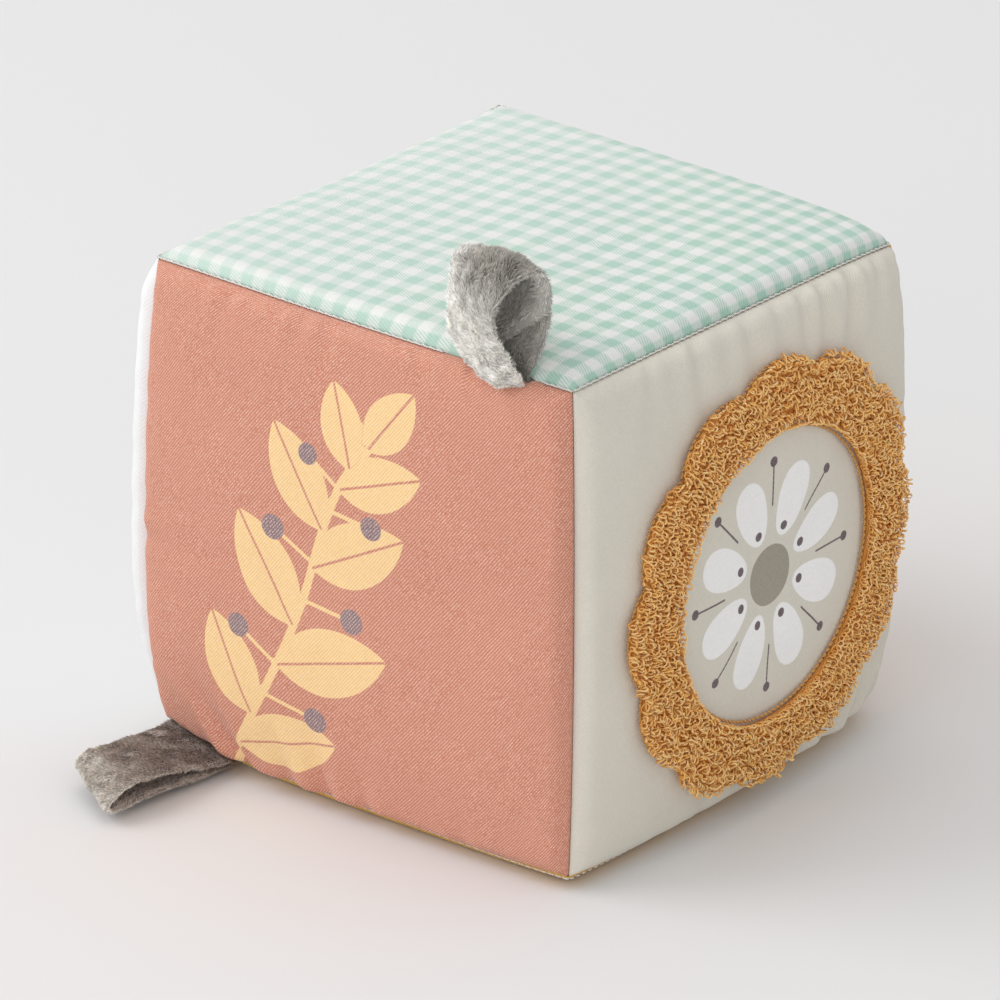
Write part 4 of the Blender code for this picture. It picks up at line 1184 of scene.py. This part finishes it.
def makeBottomLoop():
    foot = (-(half + 0.0012), -(half - rollDepth - 0.0002))
    hinge, side = hingeLine(ribbon["bottomMiddle"], foot)
    out = squareTo((0, -1, 0), side)
    up = np.cross(side, out) if np.cross(side, out)[2] > 0 else -np.cross(side, out)
    look = greyPlush("warmGreyPlush", {"shadedRoot": "#5C4B43", "shadedTip": "#C6B3A8", "litRoot": "#BEB5AA",
                                       "litTip": "#FFFDF6", "sheen": 0.4})
    pieces, long = ribbonLoop("bottom_ribbon_loop", hinge, side, out, up, bottomLoop, look, 42)
    sewInLoop(pieces, ("bottom_loop", "bottom_loop_sewn_end"))


makeTopLoop()
makeBottomLoop()
print("ribbon loops made")

# Floor, lights and camera

stage = {"floor": 4.0, "floorColour": "#E4E3E2", "mottleColour": "#E7E6E5",
         "worldColour": "#F5F6F8", "worldStrength": 0.715,
         "brightSide": (-0.2, -0.8, 0.5), "brighter": 0.48, "background": "#E4E4E4"}
lamps = {
    # name: place, size in metres, power in watts, colour
    "windowLight": ((-1.35, -1.05, 1.50), 1.5, 15.0, "#FFFFFF"),
    "ceilingLight": ((-0.1, 0.5, 2.4), 2.0, 5.5, "#FFFFFF"),
    "fillCard": ((0.9, -1.9, 0.9), 1.2, 3.0, "#FBFCFF"),
}


def makeStage():
    # matt painted table: even and pale, only its faint mottling shows
    look, add, shader = newMaterial("mattPaintedTable")
    place = add("TexCoord").outputs["Object"]
    mottle = add("TexNoise", {"Vector": place, "Scale": 3.0, "Detail": 3.0}).outputs[0]
    colour = add("Mix RGBA", (mottle, stage["floorColour"], stage["mottleColour"]))
    setInputs(shader, {"Base Color": colour, "Roughness": 0.9, "Specular IOR Level": 0.1})
    wide = stage["floor"]
    spread = np.linspace(-wide, wide, 9)
    x, y = np.meshgrid(spread, spread, indexing="ij")
    points = np.stack([x.ravel(), y.ravel(), np.full(x.size, -0.0002)], 1)
    floor = meshPiece("floor", points, gridFaces(9, 9), look)


def makeWorld():
    world = bpy.data.worlds.new("softStudio")
    bpy.context.scene.world = world
    world.use_nodes = True
    add = partial(addNode, world.node_tree)
    shader = world.node_tree.nodes["Background"]
    # the room is brighter towards its windows, which lets soft folds show
    way = add("TexCoord").outputs["Generated"]
    toward = add("VectorMath DOT_PRODUCT", (way, stage["brightSide"]))
    slope = stage["brighter"] * stage["worldStrength"]
    strength = add("Math MULTIPLY_ADD", (toward, slope, stage["worldStrength"]))
    setInputs(shader, (stage["worldColour"], strength))
    seen = add("Background", (stage["background"], 1.0))
    rays = add("LightPath")
    straight = add("Math MAXIMUM", (rays.outputs["Is Glossy Ray"], rays.outputs["Is Transmission Ray"]))
    straight = add("Math MAXIMUM", (rays.outputs["Is Camera Ray"], straight))
    mixed = add("MixShader", (straight, shader, seen))
    setInputs(world.node_tree.nodes["World Output"], (mixed,))


def makeLamps():
    aim = Vector((0, 0, 0.06))
    for name, (place, size, power, colour) in lamps.items():
        light = bpy.data.lights.new(name, "AREA")
        light.shape = "DISK"
        light.size = size
        light.energy = power
        light.color = linear(colour)[:3]
        lamp = bpy.data.objects.new(name, light)
        lamp.location = place
        lamp.rotation_euler = (aim - Vector(place)).to_track_quat("-Z", "Y").to_euler()
        bpy.context.scene.collection.objects.link(lamp)


photoView = {"turn": 37.6129, "rise": 23.0075, "roll": 0.736, "distance": 1.65726,
             "aim": (-0.00683, 0.0, 0.05827), "lens": 250.17, "sensor": 36.0}


def makeCamera():
    turn, rise, roll = (math.radians(photoView[k]) for k in ("turn", "rise", "roll"))
    back = Vector((math.sin(turn) * math.cos(rise), -math.cos(turn) * math.cos(rise), math.sin(rise)))
    right = (-back).cross(Vector((0, 0, 1))).normalized()
    up = right.cross(-back)
    rolledRight = right * math.cos(roll) + up * math.sin(roll)
    rolledUp = up * math.cos(roll) - right * math.sin(roll)
    camera = bpy.data.objects.new("photoCamera", bpy.data.cameras.new("photoCamera"))
    camera.data.lens = photoView["lens"]
    camera.data.sensor_width = photoView["sensor"]
    camera.data.clip_start, camera.data.clip_end = 0.05, 30.0
    place = Vector(photoView["aim"]) + back * photoView["distance"]
    camera.matrix_world = Matrix((
        (rolledRight.x, rolledUp.x, back.x, place.x), (rolledRight.y, rolledUp.y, back.y, place.y),
        (rolledRight.z, rolledUp.z, back.z, place.z), (0, 0, 0, 1)))
    bpy.context.scene.collection.objects.link(camera)
    bpy.context.scene.camera = camera


makeStage()
makeWorld()
makeLamps()
makeCamera()
bpy.context.scene.view_settings.view_transform = "Standard"
print("stage, lamps and camera set")
